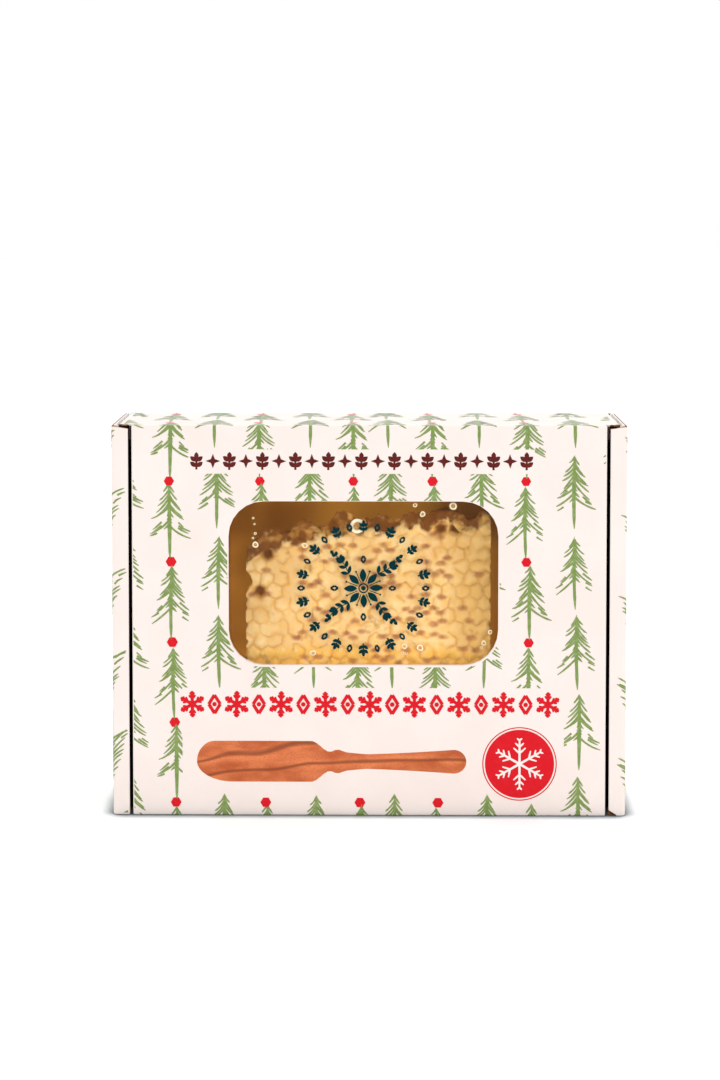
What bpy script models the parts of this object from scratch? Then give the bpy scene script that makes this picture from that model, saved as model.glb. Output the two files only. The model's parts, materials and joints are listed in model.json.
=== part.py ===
"""Honeycomb in a clear tub, packed in a printed corrugated gift carton with a rounded window.

Metres, +Z up. The carton stands on a long edge with its lid towards -Y, and the origin is
the middle of the face it stands on.
"""

import math
import random

import bmesh
import bpy
from mathutils import Vector

# Carton, outside
CARTON_WIDTH = 0.1840
CARTON_HEIGHT = 0.1406
CARTON_DEPTH = 0.0440
BOARD = 0.0016
FOLD_RADIUS = 0.0014
EDGE_ROUND = 0.0005

# Rolled side walls: the rim that shows beside the lid, and the slot the lid's flap goes down
RIM_WIDTH = 0.0061
SLOT_WIDTH = 0.0011
SLOT_DEPTH = 0.0140
SLOT_ROUND = 0.0006
RIM_SLANT = 0.0013
HOLLOW_WIDTH = 0.0036
HOLLOW_DEPTH = 0.0022
HOLLOW_LENGTH = 0.0050
OUTER_PLY = 0.0013
FOLD_DIP = 0.0018
TUCK_SEAM = 0.0005

# Window in the lid
WINDOW_WIDTH = 0.0964
WINDOW_HEIGHT = 0.0590
WINDOW_RADIUS = 0.0126
WINDOW_X = -0.0020
WINDOW_Z = 0.0840

# Clear tub and its cover
PLASTIC = 0.0010
GAP = 0.0003
TUB_INNER_WIDTH = 0.1004
TUB_INNER_HEIGHT = 0.0640
TUB_INNER_DEPTH = 0.0220
TUB_CORNER = 0.0110
TUB_DRAFT = 0.0008
TUB_FLOOR_ROUND = 0.0035
FLANGE = 0.0020
SKIRT = 0.0043

# Comb
CELL_PITCH = 0.0052
CELL_JITTER = 0.00032
CAP_RISE = (0.0005, 0.0012)
CAP_SHOULDER = 0.66
COMB_LEFT = -0.0443
COMB_RIGHT = 0.0437
COMB_FOOT_CLEAR = 0.0015
COMB_CORNER = 0.0060
OPEN_CELL_DEPTH = 0.0045
OPEN_CELL_WALL = 0.80
# Cells that have lost their caps: x, and height above the carton's foot
OPEN_CELLS = ((-0.0404, 0.0795), (-0.0368, 0.0955), (0.0252, 0.1040), (0.0333, 0.1020))
SEED = 11
# The torn upper edge, left to right: x, and height above the carton's foot
TORN_EDGE = (
    (-0.0443, 0.0930),
    (-0.0400, 0.0967),
    (-0.0342, 0.0996),
    (-0.0245, 0.1010),
    (-0.0166, 0.1022),
    (-0.0101, 0.1047),
    (0.0020, 0.1040),
    (0.0097, 0.1046),
    (0.0180, 0.1067),
    (0.0212, 0.1042),
    (0.0245, 0.1085),
    (0.0282, 0.1096),
    (0.0324, 0.1050),
    (0.0385, 0.1052),
    (0.0407, 0.1072),
    (0.0437, 0.1080),
)

FRONT = -CARTON_DEPTH / 2
COVER_FRONT = FRONT + BOARD + GAP
COVER_BACK = COVER_FRONT + PLASTIC
RIM_PLANE = COVER_BACK + GAP
FLOOR_INSIDE = RIM_PLANE + TUB_INNER_DEPTH
FLOOR_OUTSIDE = FLOOR_INSIDE + PLASTIC
COMB_FRONT = RIM_PLANE + CAP_RISE[1]
COMB_BACK = FLOOR_INSIDE - TUB_FLOOR_ROUND
WALL_OUTSIDE = TUB_INNER_WIDTH / 2 + PLASTIC, TUB_INNER_HEIGHT / 2 + PLASTIC
FLANGE_REACH = WALL_OUTSIDE[0] + FLANGE, WALL_OUTSIDE[1] + FLANGE
COVER_REACH = FLANGE_REACH[0] + GAP + PLASTIC, FLANGE_REACH[1] + GAP + PLASTIC
# Corners of a cell from its centre, in half pitches across and thirds of a row up
CELL_CORNERS = ((1, 1), (0, 2), (-1, 1), (-1, -1), (0, -2), (1, -1))
CORNER_STEPS = 6
FOLD_STEPS = 3
BEYOND = 0.001


def clear_scene():
    for obj in list(bpy.data.objects):
        bpy.data.objects.remove(obj, do_unlink=True)


def make_material(name, colour, roughness, alpha=1.0, transmission=0.0):
    material = bpy.data.materials.new(name)
    material.use_nodes = True
    shader = material.node_tree.nodes["Principled BSDF"]
    shader.inputs["Base Color"].default_value = (*colour, 1.0)
    shader.inputs["Roughness"].default_value = roughness
    shader.inputs["Metallic"].default_value = 0.0
    shader.inputs["Alpha"].default_value = alpha
    shader.inputs["Transmission Weight"].default_value = transmission
    material.diffuse_color = (*colour, alpha)
    return material


def add_object(name, bm, material=None):
    """Puts a bmesh into the scene as a named object, with its faces pointing outwards."""
    bmesh.ops.recalc_face_normals(bm, faces=bm.faces)
    mesh = bpy.data.meshes.new(name)
    bm.to_mesh(mesh)
    bm.free()
    obj = bpy.data.objects.new(name, mesh)
    bpy.context.collection.objects.link(obj)
    if material:
        mesh.materials.append(material)
    return obj


def add_cutter(name, bm):
    cutter = add_object(name, bm)
    cutter.hide_render = True
    cutter.display_type = "WIRE"
    return cutter


def combine(obj, cutter, operation):
    boolean = obj.modifiers.new(cutter.name, "BOOLEAN")
    boolean.object = cutter
    boolean.operation = operation
    boolean.solver = "EXACT"


def arc(centre, radius, start, end, steps):
    """Points on an arc in a plane, with its angles in degrees."""
    points = []
    for i in range(steps + 1):
        angle = math.radians(start + (end - start) * i / steps)
        points.append((centre[0] + radius * math.cos(angle), centre[1] + radius * math.sin(angle)))
    return points


def rounded_rectangle(half_width, half_height, radius):
    """Outline in the XZ plane round the window's centre."""
    points = []
    for sign_x, sign_z, start in ((1, 1, 0), (-1, 1, 90), (-1, -1, 180), (1, -1, 270)):
        centre = WINDOW_X + sign_x * (half_width - radius), WINDOW_Z + sign_z * (half_height - radius)
        points += arc(centre, radius, start, start + 90, CORNER_STEPS)
    return points


def loft(rings):
    """A solid through rings that have the same number of points, with flat ends."""
    bm = bmesh.new()
    loops = [[bm.verts.new(point) for point in points] for points in rings]
    bm.faces.new(loops[0])
    bm.faces.new(loops[-1])
    for low, high in zip(loops, loops[1:]):
        for i in range(len(low)):
            j = (i + 1) % len(low)
            bm.faces.new((low[i], low[j], high[j], high[i]))
    return bm


def prism(outline, start, end):
    """An XZ outline carried from one depth to another."""
    return loft([[(x, depth, z) for x, z in outline] for depth in (start, end)])


def add_block(bm, corners_low, corners_high):
    """One block with a lower and an upper face of four corners each, added to bm."""
    low = [bm.verts.new(corner) for corner in corners_low]
    high = [bm.verts.new(corner) for corner in corners_high]
    bm.faces.new(low)
    bm.faces.new(high)
    for i in range(4):
        j = (i + 1) % 4
        bm.faces.new((low[i], low[j], high[j], high[i]))


def box_corners(x, y, z):
    return [(x[0], y[0], z), (x[1], y[0], z), (x[1], y[1], z), (x[0], y[1], z)]


def carton_section(inset):
    """The carton seen from above, drawn in by inset where its top and bottom folds round over."""
    outer = CARTON_WIDTH / 2 - FOLD_RADIUS
    back = CARTON_DEPTH / 2 - FOLD_RADIUS
    rim_inside = CARTON_WIDTH / 2 - RIM_WIDTH
    lid_side = rim_inside - SLOT_WIDTH
    slot_floor = FRONT + SLOT_DEPTH
    slot_front = FRONT + SLOT_ROUND
    fold = FOLD_RADIUS - inset
    mouth = SLOT_ROUND - inset
    half = arc((lid_side - SLOT_ROUND, slot_front), mouth, 270, 360, FOLD_STEPS)
    half += [(half[-1][0], slot_floor), (rim_inside + inset, slot_floor)]
    half += arc((rim_inside + SLOT_ROUND, slot_front), mouth, 180, 270, FOLD_STEPS)
    half += arc((outer, -back), fold, 270, 360, FOLD_STEPS)
    half += arc((outer, back), fold, 0, 90, FOLD_STEPS)
    return half + [(-x, y) for x, y in reversed(half)]


def corner_cuts():
    """What the cut ends of the rolled side walls leave open at the carton's upper corners."""
    bm = bmesh.new()
    rim_inside = CARTON_WIDTH / 2 - RIM_WIDTH
    top, above = CARTON_HEIGHT, CARTON_HEIGHT + BEYOND
    ply_inside = CARTON_WIDTH / 2 - OUTER_PLY
    for sign in (-1, 1):
        hollow_x = sign * (rim_inside - SLOT_WIDTH / 2), sign * (rim_inside + HOLLOW_WIDTH)
        hollow_y = FRONT + BOARD, FRONT + BOARD + HOLLOW_DEPTH
        hollow_floor = box_corners(hollow_x, hollow_y, top - HOLLOW_LENGTH)
        add_block(bm, hollow_floor, box_corners(hollow_x, hollow_y, above))
        # Between the outer ply and the fold of the top panel
        groove_y = FRONT + BOARD + HOLLOW_DEPTH + BOARD, CARTON_DEPTH / 2 + BEYOND
        foot = sign * (ply_inside - FOLD_DIP / 4), sign * ply_inside
        mouth = sign * (ply_inside - FOLD_DIP), sign * ply_inside
        add_block(bm, box_corners(foot, groove_y, top - FOLD_DIP), box_corners(mouth, groove_y, above))
    return bm


def slant_cuts():
    """The slanted ends of the rims, and the snipped lower end of the right one."""
    bm = bmesh.new()
    side = CARTON_WIDTH / 2 + BEYOND
    rim_inside = CARTON_WIDTH / 2 - RIM_WIDTH - SLOT_WIDTH / 2
    depth = FRONT - BEYOND, FRONT + BOARD + BEYOND / 4
    above = CARTON_HEIGHT + BEYOND
    for sign in (-1, 1):
        low = [
            (sign * rim_inside, depth[0], CARTON_HEIGHT - RIM_SLANT),
            (sign * side, depth[0], CARTON_HEIGHT - EDGE_ROUND / 4),
            (sign * side, depth[1], CARTON_HEIGHT - EDGE_ROUND / 4),
            (sign * rim_inside, depth[1], CARTON_HEIGHT - RIM_SLANT),
        ]
        add_block(bm, low, [(x, y, above) for x, y, z in low])
    snip_end, snip_height = CARTON_WIDTH / 2 - 2 * BOARD, 2 * RIM_SLANT
    high = [
        (rim_inside, depth[0], snip_height),
        (snip_end, depth[0], EDGE_ROUND),
        (snip_end, depth[1], EDGE_ROUND),
        (rim_inside, depth[1], snip_height),
    ]
    add_block(bm, [(x, y, -BEYOND) for x, y, z in high], high)
    return bm


def tuck_seam():
    """Along the foot, where the lid's tuck flap goes in behind the front wall's edge."""
    bm = bmesh.new()
    half = CARTON_WIDTH / 2 - RIM_WIDTH - SLOT_WIDTH - BOARD
    seam_y = FRONT + BOARD, FRONT + BOARD + TUCK_SEAM
    add_block(bm, box_corners((-half, half), seam_y, -BEYOND), box_corners((-half, half), seam_y, BOARD))
    return bm


def make_carton(material):
    levels = (
        (0.0, EDGE_ROUND),
        (EDGE_ROUND * 0.3, EDGE_ROUND * 0.3),
        (EDGE_ROUND, 0.0),
        (CARTON_HEIGHT - EDGE_ROUND, 0.0),
        (CARTON_HEIGHT - EDGE_ROUND * 0.3, EDGE_ROUND * 0.3),
        (CARTON_HEIGHT, EDGE_ROUND),
    )
    rings = [[(x, y, height) for x, y in carton_section(inset)] for height, inset in levels]
    carton = add_object("carton", loft(rings), material)
    window = rounded_rectangle(WINDOW_WIDTH / 2, WINDOW_HEIGHT / 2, WINDOW_RADIUS)
    pocket_reach = COVER_REACH[0] + GAP, COVER_REACH[1] + GAP
    pocket = rounded_rectangle(*pocket_reach, TUB_CORNER + FLANGE + 2 * PLASTIC)
    cuts = (
        ("window_cut", prism(window, FRONT - BEYOND, FRONT + BOARD + BEYOND)),
        ("tub_pocket_cut", prism(pocket, FRONT + BOARD, FLOOR_OUTSIDE + GAP)),
        ("corner_cut", corner_cuts()),
        ("rim_end_cut", slant_cuts()),
        ("tuck_seam_cut", tuck_seam()),
    )
    for name, cut in cuts:
        combine(carton, add_cutter(name, cut), "DIFFERENCE")
    return carton


def ring(half_width, half_height, radius, depth):
    return [(x, depth, z) for x, z in rounded_rectangle(half_width, half_height, radius)]


def tub_wall(half_width, half_height, radius, rim, floor):
    """Rings down one face of the tub's drafted wall and round its floor's fillet."""
    rings = [ring(half_width, half_height, radius, rim)]
    straight = floor - TUB_FLOOR_ROUND
    for step in range(CORNER_STEPS):
        angle = math.pi / 2 * step / (CORNER_STEPS - 1)
        inward = TUB_DRAFT + TUB_FLOOR_ROUND * (1 - math.cos(angle))
        depth = straight + TUB_FLOOR_ROUND * math.sin(angle)
        rings.append(ring(half_width - inward, half_height - inward, radius - inward, depth))
    return rings


def make_tub(material):
    """A drafted tray with a flat flange round its mouth."""
    corner = TUB_CORNER + PLASTIC
    inside = tub_wall(TUB_INNER_WIDTH / 2, TUB_INNER_HEIGHT / 2, TUB_CORNER, RIM_PLANE, FLOOR_INSIDE)
    flange_back = RIM_PLANE + PLASTIC
    outside = tub_wall(*WALL_OUTSIDE, corner, flange_back, FLOOR_OUTSIDE)
    flange = [ring(*FLANGE_REACH, corner + FLANGE, depth) for depth in (RIM_PLANE, flange_back)]
    return add_object("tub", loft(list(reversed(inside)) + flange + outside), material)


def make_tub_lid(material):
    """A flat clear cover whose skirt closes over the tub's flange."""
    corner = TUB_CORNER + FLANGE + 2 * PLASTIC
    skirt_inside = FLANGE_REACH[0] + GAP, FLANGE_REACH[1] + GAP
    skirt_back = COVER_FRONT + SKIRT
    soft = PLASTIC / 2
    rings = [
        ring(COVER_REACH[0] - soft, COVER_REACH[1] - soft, corner - soft, COVER_FRONT),
        ring(*COVER_REACH, corner, COVER_FRONT + soft),
        ring(*COVER_REACH, corner, skirt_back),
        ring(*skirt_inside, corner - PLASTIC, skirt_back),
        ring(*skirt_inside, corner - PLASTIC, COVER_BACK),
    ]
    return add_object("tub_lid", loft(rings), material)


def comb_outline(clearance):
    """The comb's cut and torn outline, moved out by clearance."""
    corner_z = WINDOW_Z - TUB_INNER_HEIGHT / 2 + COMB_FOOT_CLEAR + COMB_CORNER
    right = arc((COMB_RIGHT - COMB_CORNER, corner_z), COMB_CORNER, 0, -90, CORNER_STEPS)
    left = arc((COMB_LEFT + COMB_CORNER, corner_z), COMB_CORNER, 270, 180, CORNER_STEPS)
    points = [Vector(point) for point in (*TORN_EDGE, *right, *left)]
    moved = []
    for i, point in enumerate(points):
        before = (point - points[i - 1]).normalized()
        after = (points[(i + 1) % len(points)] - point).normalized()
        normals = Vector((-before.y, before.x)), Vector((-after.y, after.x))
        middle = (normals[0] + normals[1]).normalized()
        moved.append(point + middle * clearance / middle.dot(normals[0]))
    return [(point.x, point.y) for point in moved]


def cap_rings(rim, rng, is_open):
    """The ring inside a cell's rim and its middle point: a domed cap, or the pit of an open cell."""
    middle = sum((vert.co for vert in rim), Vector()) / len(rim)
    rise = rng.uniform(*CAP_RISE)
    share = OPEN_CELL_WALL if is_open else CAP_SHOULDER
    shoulder, tip = (0.0, OPEN_CELL_DEPTH) if is_open else (-rise * 0.8, -rise)
    ring_points = [middle.lerp(vert.co, share) + Vector((0, shoulder, 0)) for vert in rim]
    return ring_points, middle + Vector((0, tip, 0))


def comb_block(front, back):
    """Rows of six-sided cells, each with its own domed cap, as one solid wider than the comb."""
    rng = random.Random(SEED)
    foot = WINDOW_Z - TUB_INNER_HEIGHT / 2
    half_pitch, third_row = CELL_PITCH / 2, CELL_PITCH * math.sqrt(3) / 6
    rows = math.ceil((max(z for x, z in TORN_EDGE) - foot) / (3 * third_row)) + 1
    columns = math.ceil((COMB_RIGHT - COMB_LEFT) / CELL_PITCH) + 2
    bm = bmesh.new()
    fronts, backs, walls = {}, {}, {}
    for row in range(rows):
        for column in range(columns):
            across, up = 2 * column + row % 2, 3 * row
            centre = Vector((COMB_LEFT + across * half_pitch, foot + up * third_row))
            is_open = any((centre - Vector(cell)).length < half_pitch for cell in OPEN_CELLS)
            keys = [(across + a, up + b) for a, b in CELL_CORNERS]
            for key in keys:
                if key not in fronts:
                    x = COMB_LEFT + key[0] * half_pitch + rng.uniform(-CELL_JITTER, CELL_JITTER)
                    z = foot + key[1] * third_row + rng.uniform(-CELL_JITTER, CELL_JITTER)
                    fronts[key] = bm.verts.new((x, front + rng.uniform(0, CELL_JITTER), z))
                    backs[key] = bm.verts.new((x, back, z))
            rim = [fronts[key] for key in keys]
            ring_points, tip_point = cap_rings(rim, rng, is_open)
            inner = [bm.verts.new(point) for point in ring_points]
            tip = bm.verts.new(tip_point)
            for k in range(6):
                n = (k + 1) % 6
                bm.faces.new((rim[k], rim[n], inner[n], inner[k]))
                bm.faces.new((inner[k], inner[n], tip))
                edge = tuple(sorted((keys[k], keys[n])))
                walls[edge] = walls.get(edge, 0) + 1
            bm.faces.new([backs[key] for key in keys])
    for (a, b), count in walls.items():
        if count == 1:
            bm.faces.new((fronts[a], fronts[b], backs[b], backs[a]))
    back_faces = [face for face in bm.faces if all(abs(vert.co.y - back) < GAP / 10 for vert in face.verts)]
    bmesh.ops.dissolve_faces(bm, faces=back_faces)
    return bm


def make_comb(material):
    """The block of cells, trimmed to the outline that was cut and torn."""
    comb = add_object("comb", comb_block(COMB_FRONT, COMB_BACK), material)
    trim = prism(comb_outline(0.0), COMB_FRONT - 2 * CAP_RISE[1], COMB_BACK + BEYOND)
    combine(comb, add_cutter("comb_trim", trim), "INTERSECT")
    return comb


def make_honey(material):
    """Honey that fills the tub behind and round the comb."""
    width, height = TUB_INNER_WIDTH / 2 - GAP, TUB_INNER_HEIGHT / 2 - GAP
    honey_rings = tub_wall(width, height, TUB_CORNER - GAP, RIM_PLANE, FLOOR_INSIDE - GAP)
    honey = add_object("honey", loft(honey_rings), material)
    room = prism(comb_outline(GAP), RIM_PLANE - BEYOND, COMB_BACK + GAP)
    combine(honey, add_cutter("comb_room", room), "DIFFERENCE")
    return honey


def main():
    clear_scene()
    make_carton(make_material("printed_board", (0.90, 0.82, 0.76), 0.55))
    clear = make_material("clear_plastic", (0.95, 0.95, 0.93), 0.05, alpha=0.35, transmission=0.9)
    make_tub(clear)
    make_tub_lid(clear)
    make_comb(make_material("wax_comb", (0.80, 0.46, 0.15), 0.45))
    make_honey(make_material("honey", (0.30, 0.13, 0.02), 0.08))


main()
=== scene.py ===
import json
import math
import random

import bmesh
import bpy
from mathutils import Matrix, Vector, noise

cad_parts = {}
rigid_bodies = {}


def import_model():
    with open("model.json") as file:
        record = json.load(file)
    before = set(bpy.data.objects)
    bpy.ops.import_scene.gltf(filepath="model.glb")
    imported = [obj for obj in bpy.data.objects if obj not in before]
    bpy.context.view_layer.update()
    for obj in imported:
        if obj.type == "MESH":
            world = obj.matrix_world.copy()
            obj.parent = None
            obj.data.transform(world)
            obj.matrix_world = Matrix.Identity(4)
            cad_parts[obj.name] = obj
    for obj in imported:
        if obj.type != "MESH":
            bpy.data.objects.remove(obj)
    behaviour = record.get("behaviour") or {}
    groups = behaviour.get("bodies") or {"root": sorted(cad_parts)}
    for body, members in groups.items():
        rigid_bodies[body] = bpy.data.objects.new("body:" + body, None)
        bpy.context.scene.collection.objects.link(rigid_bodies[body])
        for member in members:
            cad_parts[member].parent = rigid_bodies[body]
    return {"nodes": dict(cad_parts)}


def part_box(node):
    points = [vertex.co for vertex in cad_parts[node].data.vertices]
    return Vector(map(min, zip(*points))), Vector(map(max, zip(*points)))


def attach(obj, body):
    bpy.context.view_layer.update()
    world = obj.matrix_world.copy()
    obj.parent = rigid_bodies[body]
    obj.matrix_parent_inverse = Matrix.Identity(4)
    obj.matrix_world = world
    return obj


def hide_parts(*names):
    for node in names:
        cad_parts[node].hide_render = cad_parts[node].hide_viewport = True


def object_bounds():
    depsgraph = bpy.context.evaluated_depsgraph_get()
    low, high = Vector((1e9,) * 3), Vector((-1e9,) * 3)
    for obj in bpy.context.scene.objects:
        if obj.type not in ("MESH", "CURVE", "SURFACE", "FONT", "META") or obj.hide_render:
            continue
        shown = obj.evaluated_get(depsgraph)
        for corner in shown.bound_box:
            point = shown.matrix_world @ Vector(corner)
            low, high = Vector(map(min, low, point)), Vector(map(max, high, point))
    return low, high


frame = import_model()
cadLow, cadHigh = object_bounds()

mm = 0.001
frontY, backY = cadLow.y, cadHigh.y
sideX, topZ = cadHigh.x, cadHigh.z

# How the carton lies in the photo's 720 by 1080 pixels
photo = {"pixelsPerMetre": 2779, "cartonMiddle": 369, "footLine": 815.5}
board = {
    "thickness": 1.6 * mm,
    "topRound": 0.5 * mm,
    "foldRadius": 1.4 * mm,
    "rimWidth": 6.1 * mm,
    "slotWidth": 1.1 * mm,
    "slotDepth": 14 * mm,
    "slotRound": 0.6 * mm,
    "outerPly": 1.3 * mm,
    "foldDip": 1.8 * mm,
    "flutePitch": 3.2 * mm,
}
window = {"x": -2 * mm, "z": 84 * mm, "width": 96.4 * mm, "height": 59 * mm, "radius": 12.6 * mm}
lidHalf = sideX - board["rimWidth"] - board["slotWidth"]


# Meshes

def showMesh(name, bm, material=None, smooth=False):
    mesh = bpy.data.meshes.new(name)
    bm.to_mesh(mesh)
    bm.free()
    obj = bpy.data.objects.new(name, mesh)
    bpy.context.scene.collection.objects.link(obj)
    if material:
        mesh.materials.append(material)
    if smooth:
        mesh.shade_smooth()
    return obj


def arcPoints(centre, radius, start, end, steps):
    points = []
    for i in range(steps + 1):
        angle = math.radians(start + (end - start) * i / steps)
        points.append(Vector((centre[0] + radius * math.cos(angle), centre[1] + radius * math.sin(angle))))
    return points


def roundedOutline(centre, width, height, radius, steps=8):
    points = []
    for signX, signY, start in ((1, 1, 0), (-1, 1, 90), (-1, -1, 180), (1, -1, 270)):
        corner = centre[0] + signX * (width / 2 - radius), centre[1] + signY * (height / 2 - radius)
        points += arcPoints(corner, radius, start, start + 90, steps)
    return points


def loftRings(rings):
    bm = bmesh.new()
    loops = [[bm.verts.new(point) for point in ring] for ring in rings]
    bm.faces.new(loops[0])
    bm.faces.new(loops[-1])
    for low, high in zip(loops, loops[1:]):
        for i in range(len(low)):
            j = (i + 1) % len(low)
            bm.faces.new((low[i], low[j], high[j], high[i]))
    bmesh.ops.recalc_face_normals(bm, faces=bm.faces)
    return bm


# Node trees

def addNode(tree, kind, inputs=None, **settings):
    made = tree.nodes.new(kind)
    for key, value in settings.items():
        setattr(made, key, value)
    for key, value in (inputs or {}).items():
        if isinstance(value, bpy.types.NodeSocket):
            tree.links.new(value, made.inputs[key])
        else:
            made.inputs[key].default_value = value
    return made


def addMath(tree, operation, first, second=0.0):
    return addNode(tree, "ShaderNodeMath", {0: first, 1: second}, operation=operation).outputs[0]


def mapRange(tree, value, low, high, outLow=0.0, outHigh=1.0):
    return addNode(tree, "ShaderNodeMapRange", {0: value, 1: low, 2: high, 3: outLow, 4: outHigh}).outputs[0]


def mixColour(tree, factor, first, second, mode="MIX"):
    made = addNode(tree, "ShaderNodeMix", data_type="RGBA", blend_type=mode)
    for index, value in ((0, factor), (6, first), (7, second)):
        if isinstance(value, bpy.types.NodeSocket):
            tree.links.new(value, made.inputs[index])
        else:
            made.inputs[index].default_value = value if isinstance(value, float) else (*value, 1.0)
    return made.outputs[2]


def addNoise(tree, place, scale, detail, roughness=0.5):
    inputs = {"Vector": place, "Scale": scale, "Detail": detail, "Roughness": roughness}
    return addNode(tree, "ShaderNodeTexNoise", inputs).outputs[0]


def newGroup(name, kind, inputs, outputs):
    group = bpy.data.node_groups.new(name, kind)
    for direction, sockets in (("INPUT", inputs), ("OUTPUT", outputs)):
        for label, valueType, value in sockets:
            socketType = "NodeSocket" + valueType
            socket = group.interface.new_socket(name=label, in_out=direction, socket_type=socketType)
            if value is not None:
                socket.default_value = value
    return group, group.nodes.new("NodeGroupInput").outputs, group.nodes.new("NodeGroupOutput").inputs


def finishMesh(tree, geometry, finish, result):
    real = addNode(tree, "GeometryNodeRealizeInstances", {0: geometry}).outputs[0]
    painted = addNode(tree, "GeometryNodeSetMaterial", {"Geometry": real, "Material": finish})
    tree.links.new(painted.outputs[0], result)


def useGeometryTree(base, tree, values, name):
    # The tree's result becomes a plain mesh of its own, and the object it ran on goes
    modifier = base.modifiers.new(tree.name, "NODES")
    modifier.node_group = tree
    for item in tree.interface.items_tree:
        if item.in_out == "INPUT" and item.name in values:
            modifier[item.identifier] = values[item.name]
    graph = bpy.context.evaluated_depsgraph_get()
    mesh = bpy.data.meshes.new_from_object(
        base.evaluated_get(graph), preserve_all_data_layers=True, depsgraph=graph
    )
    bpy.data.objects.remove(base, do_unlink=True)
    mesh.name = name
    obj = bpy.data.objects.new(name, mesh)
    bpy.context.scene.collection.objects.link(obj)
    return obj


# Shared effects for the materials

def makePaperGrain():
    group, given, result = newGroup(
        "paperGrain", "ShaderNodeTree",
        [("Mottle scale", "Float", 90.0), ("Fibre scale", "Float", 1500.0)],
        [("Mottle", "Float", None), ("Fibre", "Float", None)],
    )
    place = group.nodes.new("ShaderNodeTexCoord").outputs["Object"]
    stretched = addNode(group, "ShaderNodeMapping", {"Vector": place, "Scale": (1.0, 1.0, 0.35)})
    group.links.new(addNoise(group, place, given["Mottle scale"], 4.0), result["Mottle"])
    group.links.new(addNoise(group, stretched.outputs[0], given["Fibre scale"], 3.0, 0.6), result["Fibre"])
    return group


paperGrain = makePaperGrain()


def newMaterial(name, roughness=0.5, gloss=0.5):
    material = bpy.data.materials.new(name)
    material.use_nodes = True
    tree = material.node_tree
    shader = tree.nodes["Principled BSDF"]
    shader.inputs["Roughness"].default_value = roughness
    shader.inputs["Specular IOR Level"].default_value = gloss
    return material, tree, shader


def addGroup(tree, group, inputs=None):
    made = tree.nodes.new("ShaderNodeGroup")
    made.node_tree = group
    for key, value in (inputs or {}).items():
        made.inputs[key].default_value = value
    return made.outputs


def addBump(tree, shader, height, strength, distance):
    bump = addNode(tree, "ShaderNodeBump", {"Strength": strength, "Distance": distance, "Height": height})
    tree.links.new(bump.outputs[0], shader.inputs["Normal"])


def objectAxes(tree):
    place = tree.nodes.new("ShaderNodeTexCoord").outputs["Object"]
    return addNode(tree, "ShaderNodeSeparateXYZ", {0: place}).outputs


liner = {"colour": (0.905, 0.80, 0.75), "shade": (0.875, 0.765, 0.712), "roughness": 0.42, "washboard": 0.05}


def linerMaterial():
    # Cream printed liner over fluted paper, which shows through as a faint washboard
    material, tree, shader = newMaterial("printedLiner", liner["roughness"], 0.3)
    grain = addGroup(tree, paperGrain, {"Mottle scale": 45.0, "Fibre scale": 1400.0})
    tone = mapRange(tree, grain["Mottle"], 0.35, 0.65)
    tree.links.new(mixColour(tree, tone, liner["colour"], liner["shade"]), shader.inputs["Base Color"])
    x = objectAxes(tree)[0]
    wave = addMath(tree, "SINE", addMath(tree, "MULTIPLY", x, 2 * math.pi / board["flutePitch"]))
    relief = addMath(tree, "ADD", addMath(tree, "MULTIPLY", wave, liner["washboard"]), grain["Fibre"])
    addBump(tree, shader, relief, 0.12, 0.1 * mm)
    tree.links.new(mapRange(tree, grain["Mottle"], 0.3, 0.7, 0.36, 0.46), shader.inputs["Roughness"])
    return material


def kraftMaterial():
    # Cut board: brown paper with the dark mouths of its flutes, whose darkness is painted shade
    material, tree, shader = newMaterial("kraftEdge", 0.85, 0.1)
    x, y, z = objectAxes(tree)
    along = addMath(tree, "ADD", addMath(tree, "ADD", x, y), z)
    wave = addMath(tree, "SINE", addMath(tree, "MULTIPLY", along, 2 * math.pi / board["flutePitch"]))
    grain = addGroup(tree, paperGrain, {"Mottle scale": 300.0, "Fibre scale": 2500.0})
    flutes = mapRange(tree, addMath(tree, "ADD", wave, grain["Mottle"]), 0.2, 1.4)
    colour = mixColour(tree, flutes, (0.36, 0.165, 0.055), (0.13, 0.050, 0.018))
    tree.links.new(colour, shader.inputs["Base Color"])
    addBump(tree, shader, grain["Fibre"], 0.4, 0.1 * mm)
    return material


def rawBoardShadingMaterial():
    # The unprinted side of the board in two tones of painted light and shade: painted shade grey where it
    # lies open in front, paler down in the groove to offset the groove's own shade
    material, tree, shader = newMaterial("rawBoard", 0.9, 0.1)
    grain = addGroup(tree, paperGrain, {"Mottle scale": 300.0, "Fibre scale": 2500.0})
    inGroove = mapRange(tree, objectAxes(tree)[1], frontY + 5.2 * mm, frontY + 5.6 * mm)
    tone = mixColour(tree, inGroove, (0.32, 0.31, 0.29), (0.90, 0.89, 0.86))
    tone = mixColour(tree, mapRange(tree, grain["Mottle"], 0.4, 0.7, 0.0, 0.5), tone, (0.20, 0.19, 0.18))
    tree.links.new(tone, shader.inputs["Base Color"])
    addBump(tree, shader, grain["Fibre"], 0.3, 0.1 * mm)
    return material


def insideMaterial():
    # Painted shade: board deep in the slots, in the hollows and in the tuck seam, coloured near black as if
    # unlit
    material, tree, shader = newMaterial("darkInside", 0.9, 0.0)
    grain = addGroup(tree, paperGrain, {"Mottle scale": 200.0})
    colour = mixColour(tree, grain["Mottle"], (0.004, 0.003, 0.003), (0.010, 0.007, 0.005))
    tree.links.new(colour, shader.inputs["Base Color"])
    return material


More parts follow.
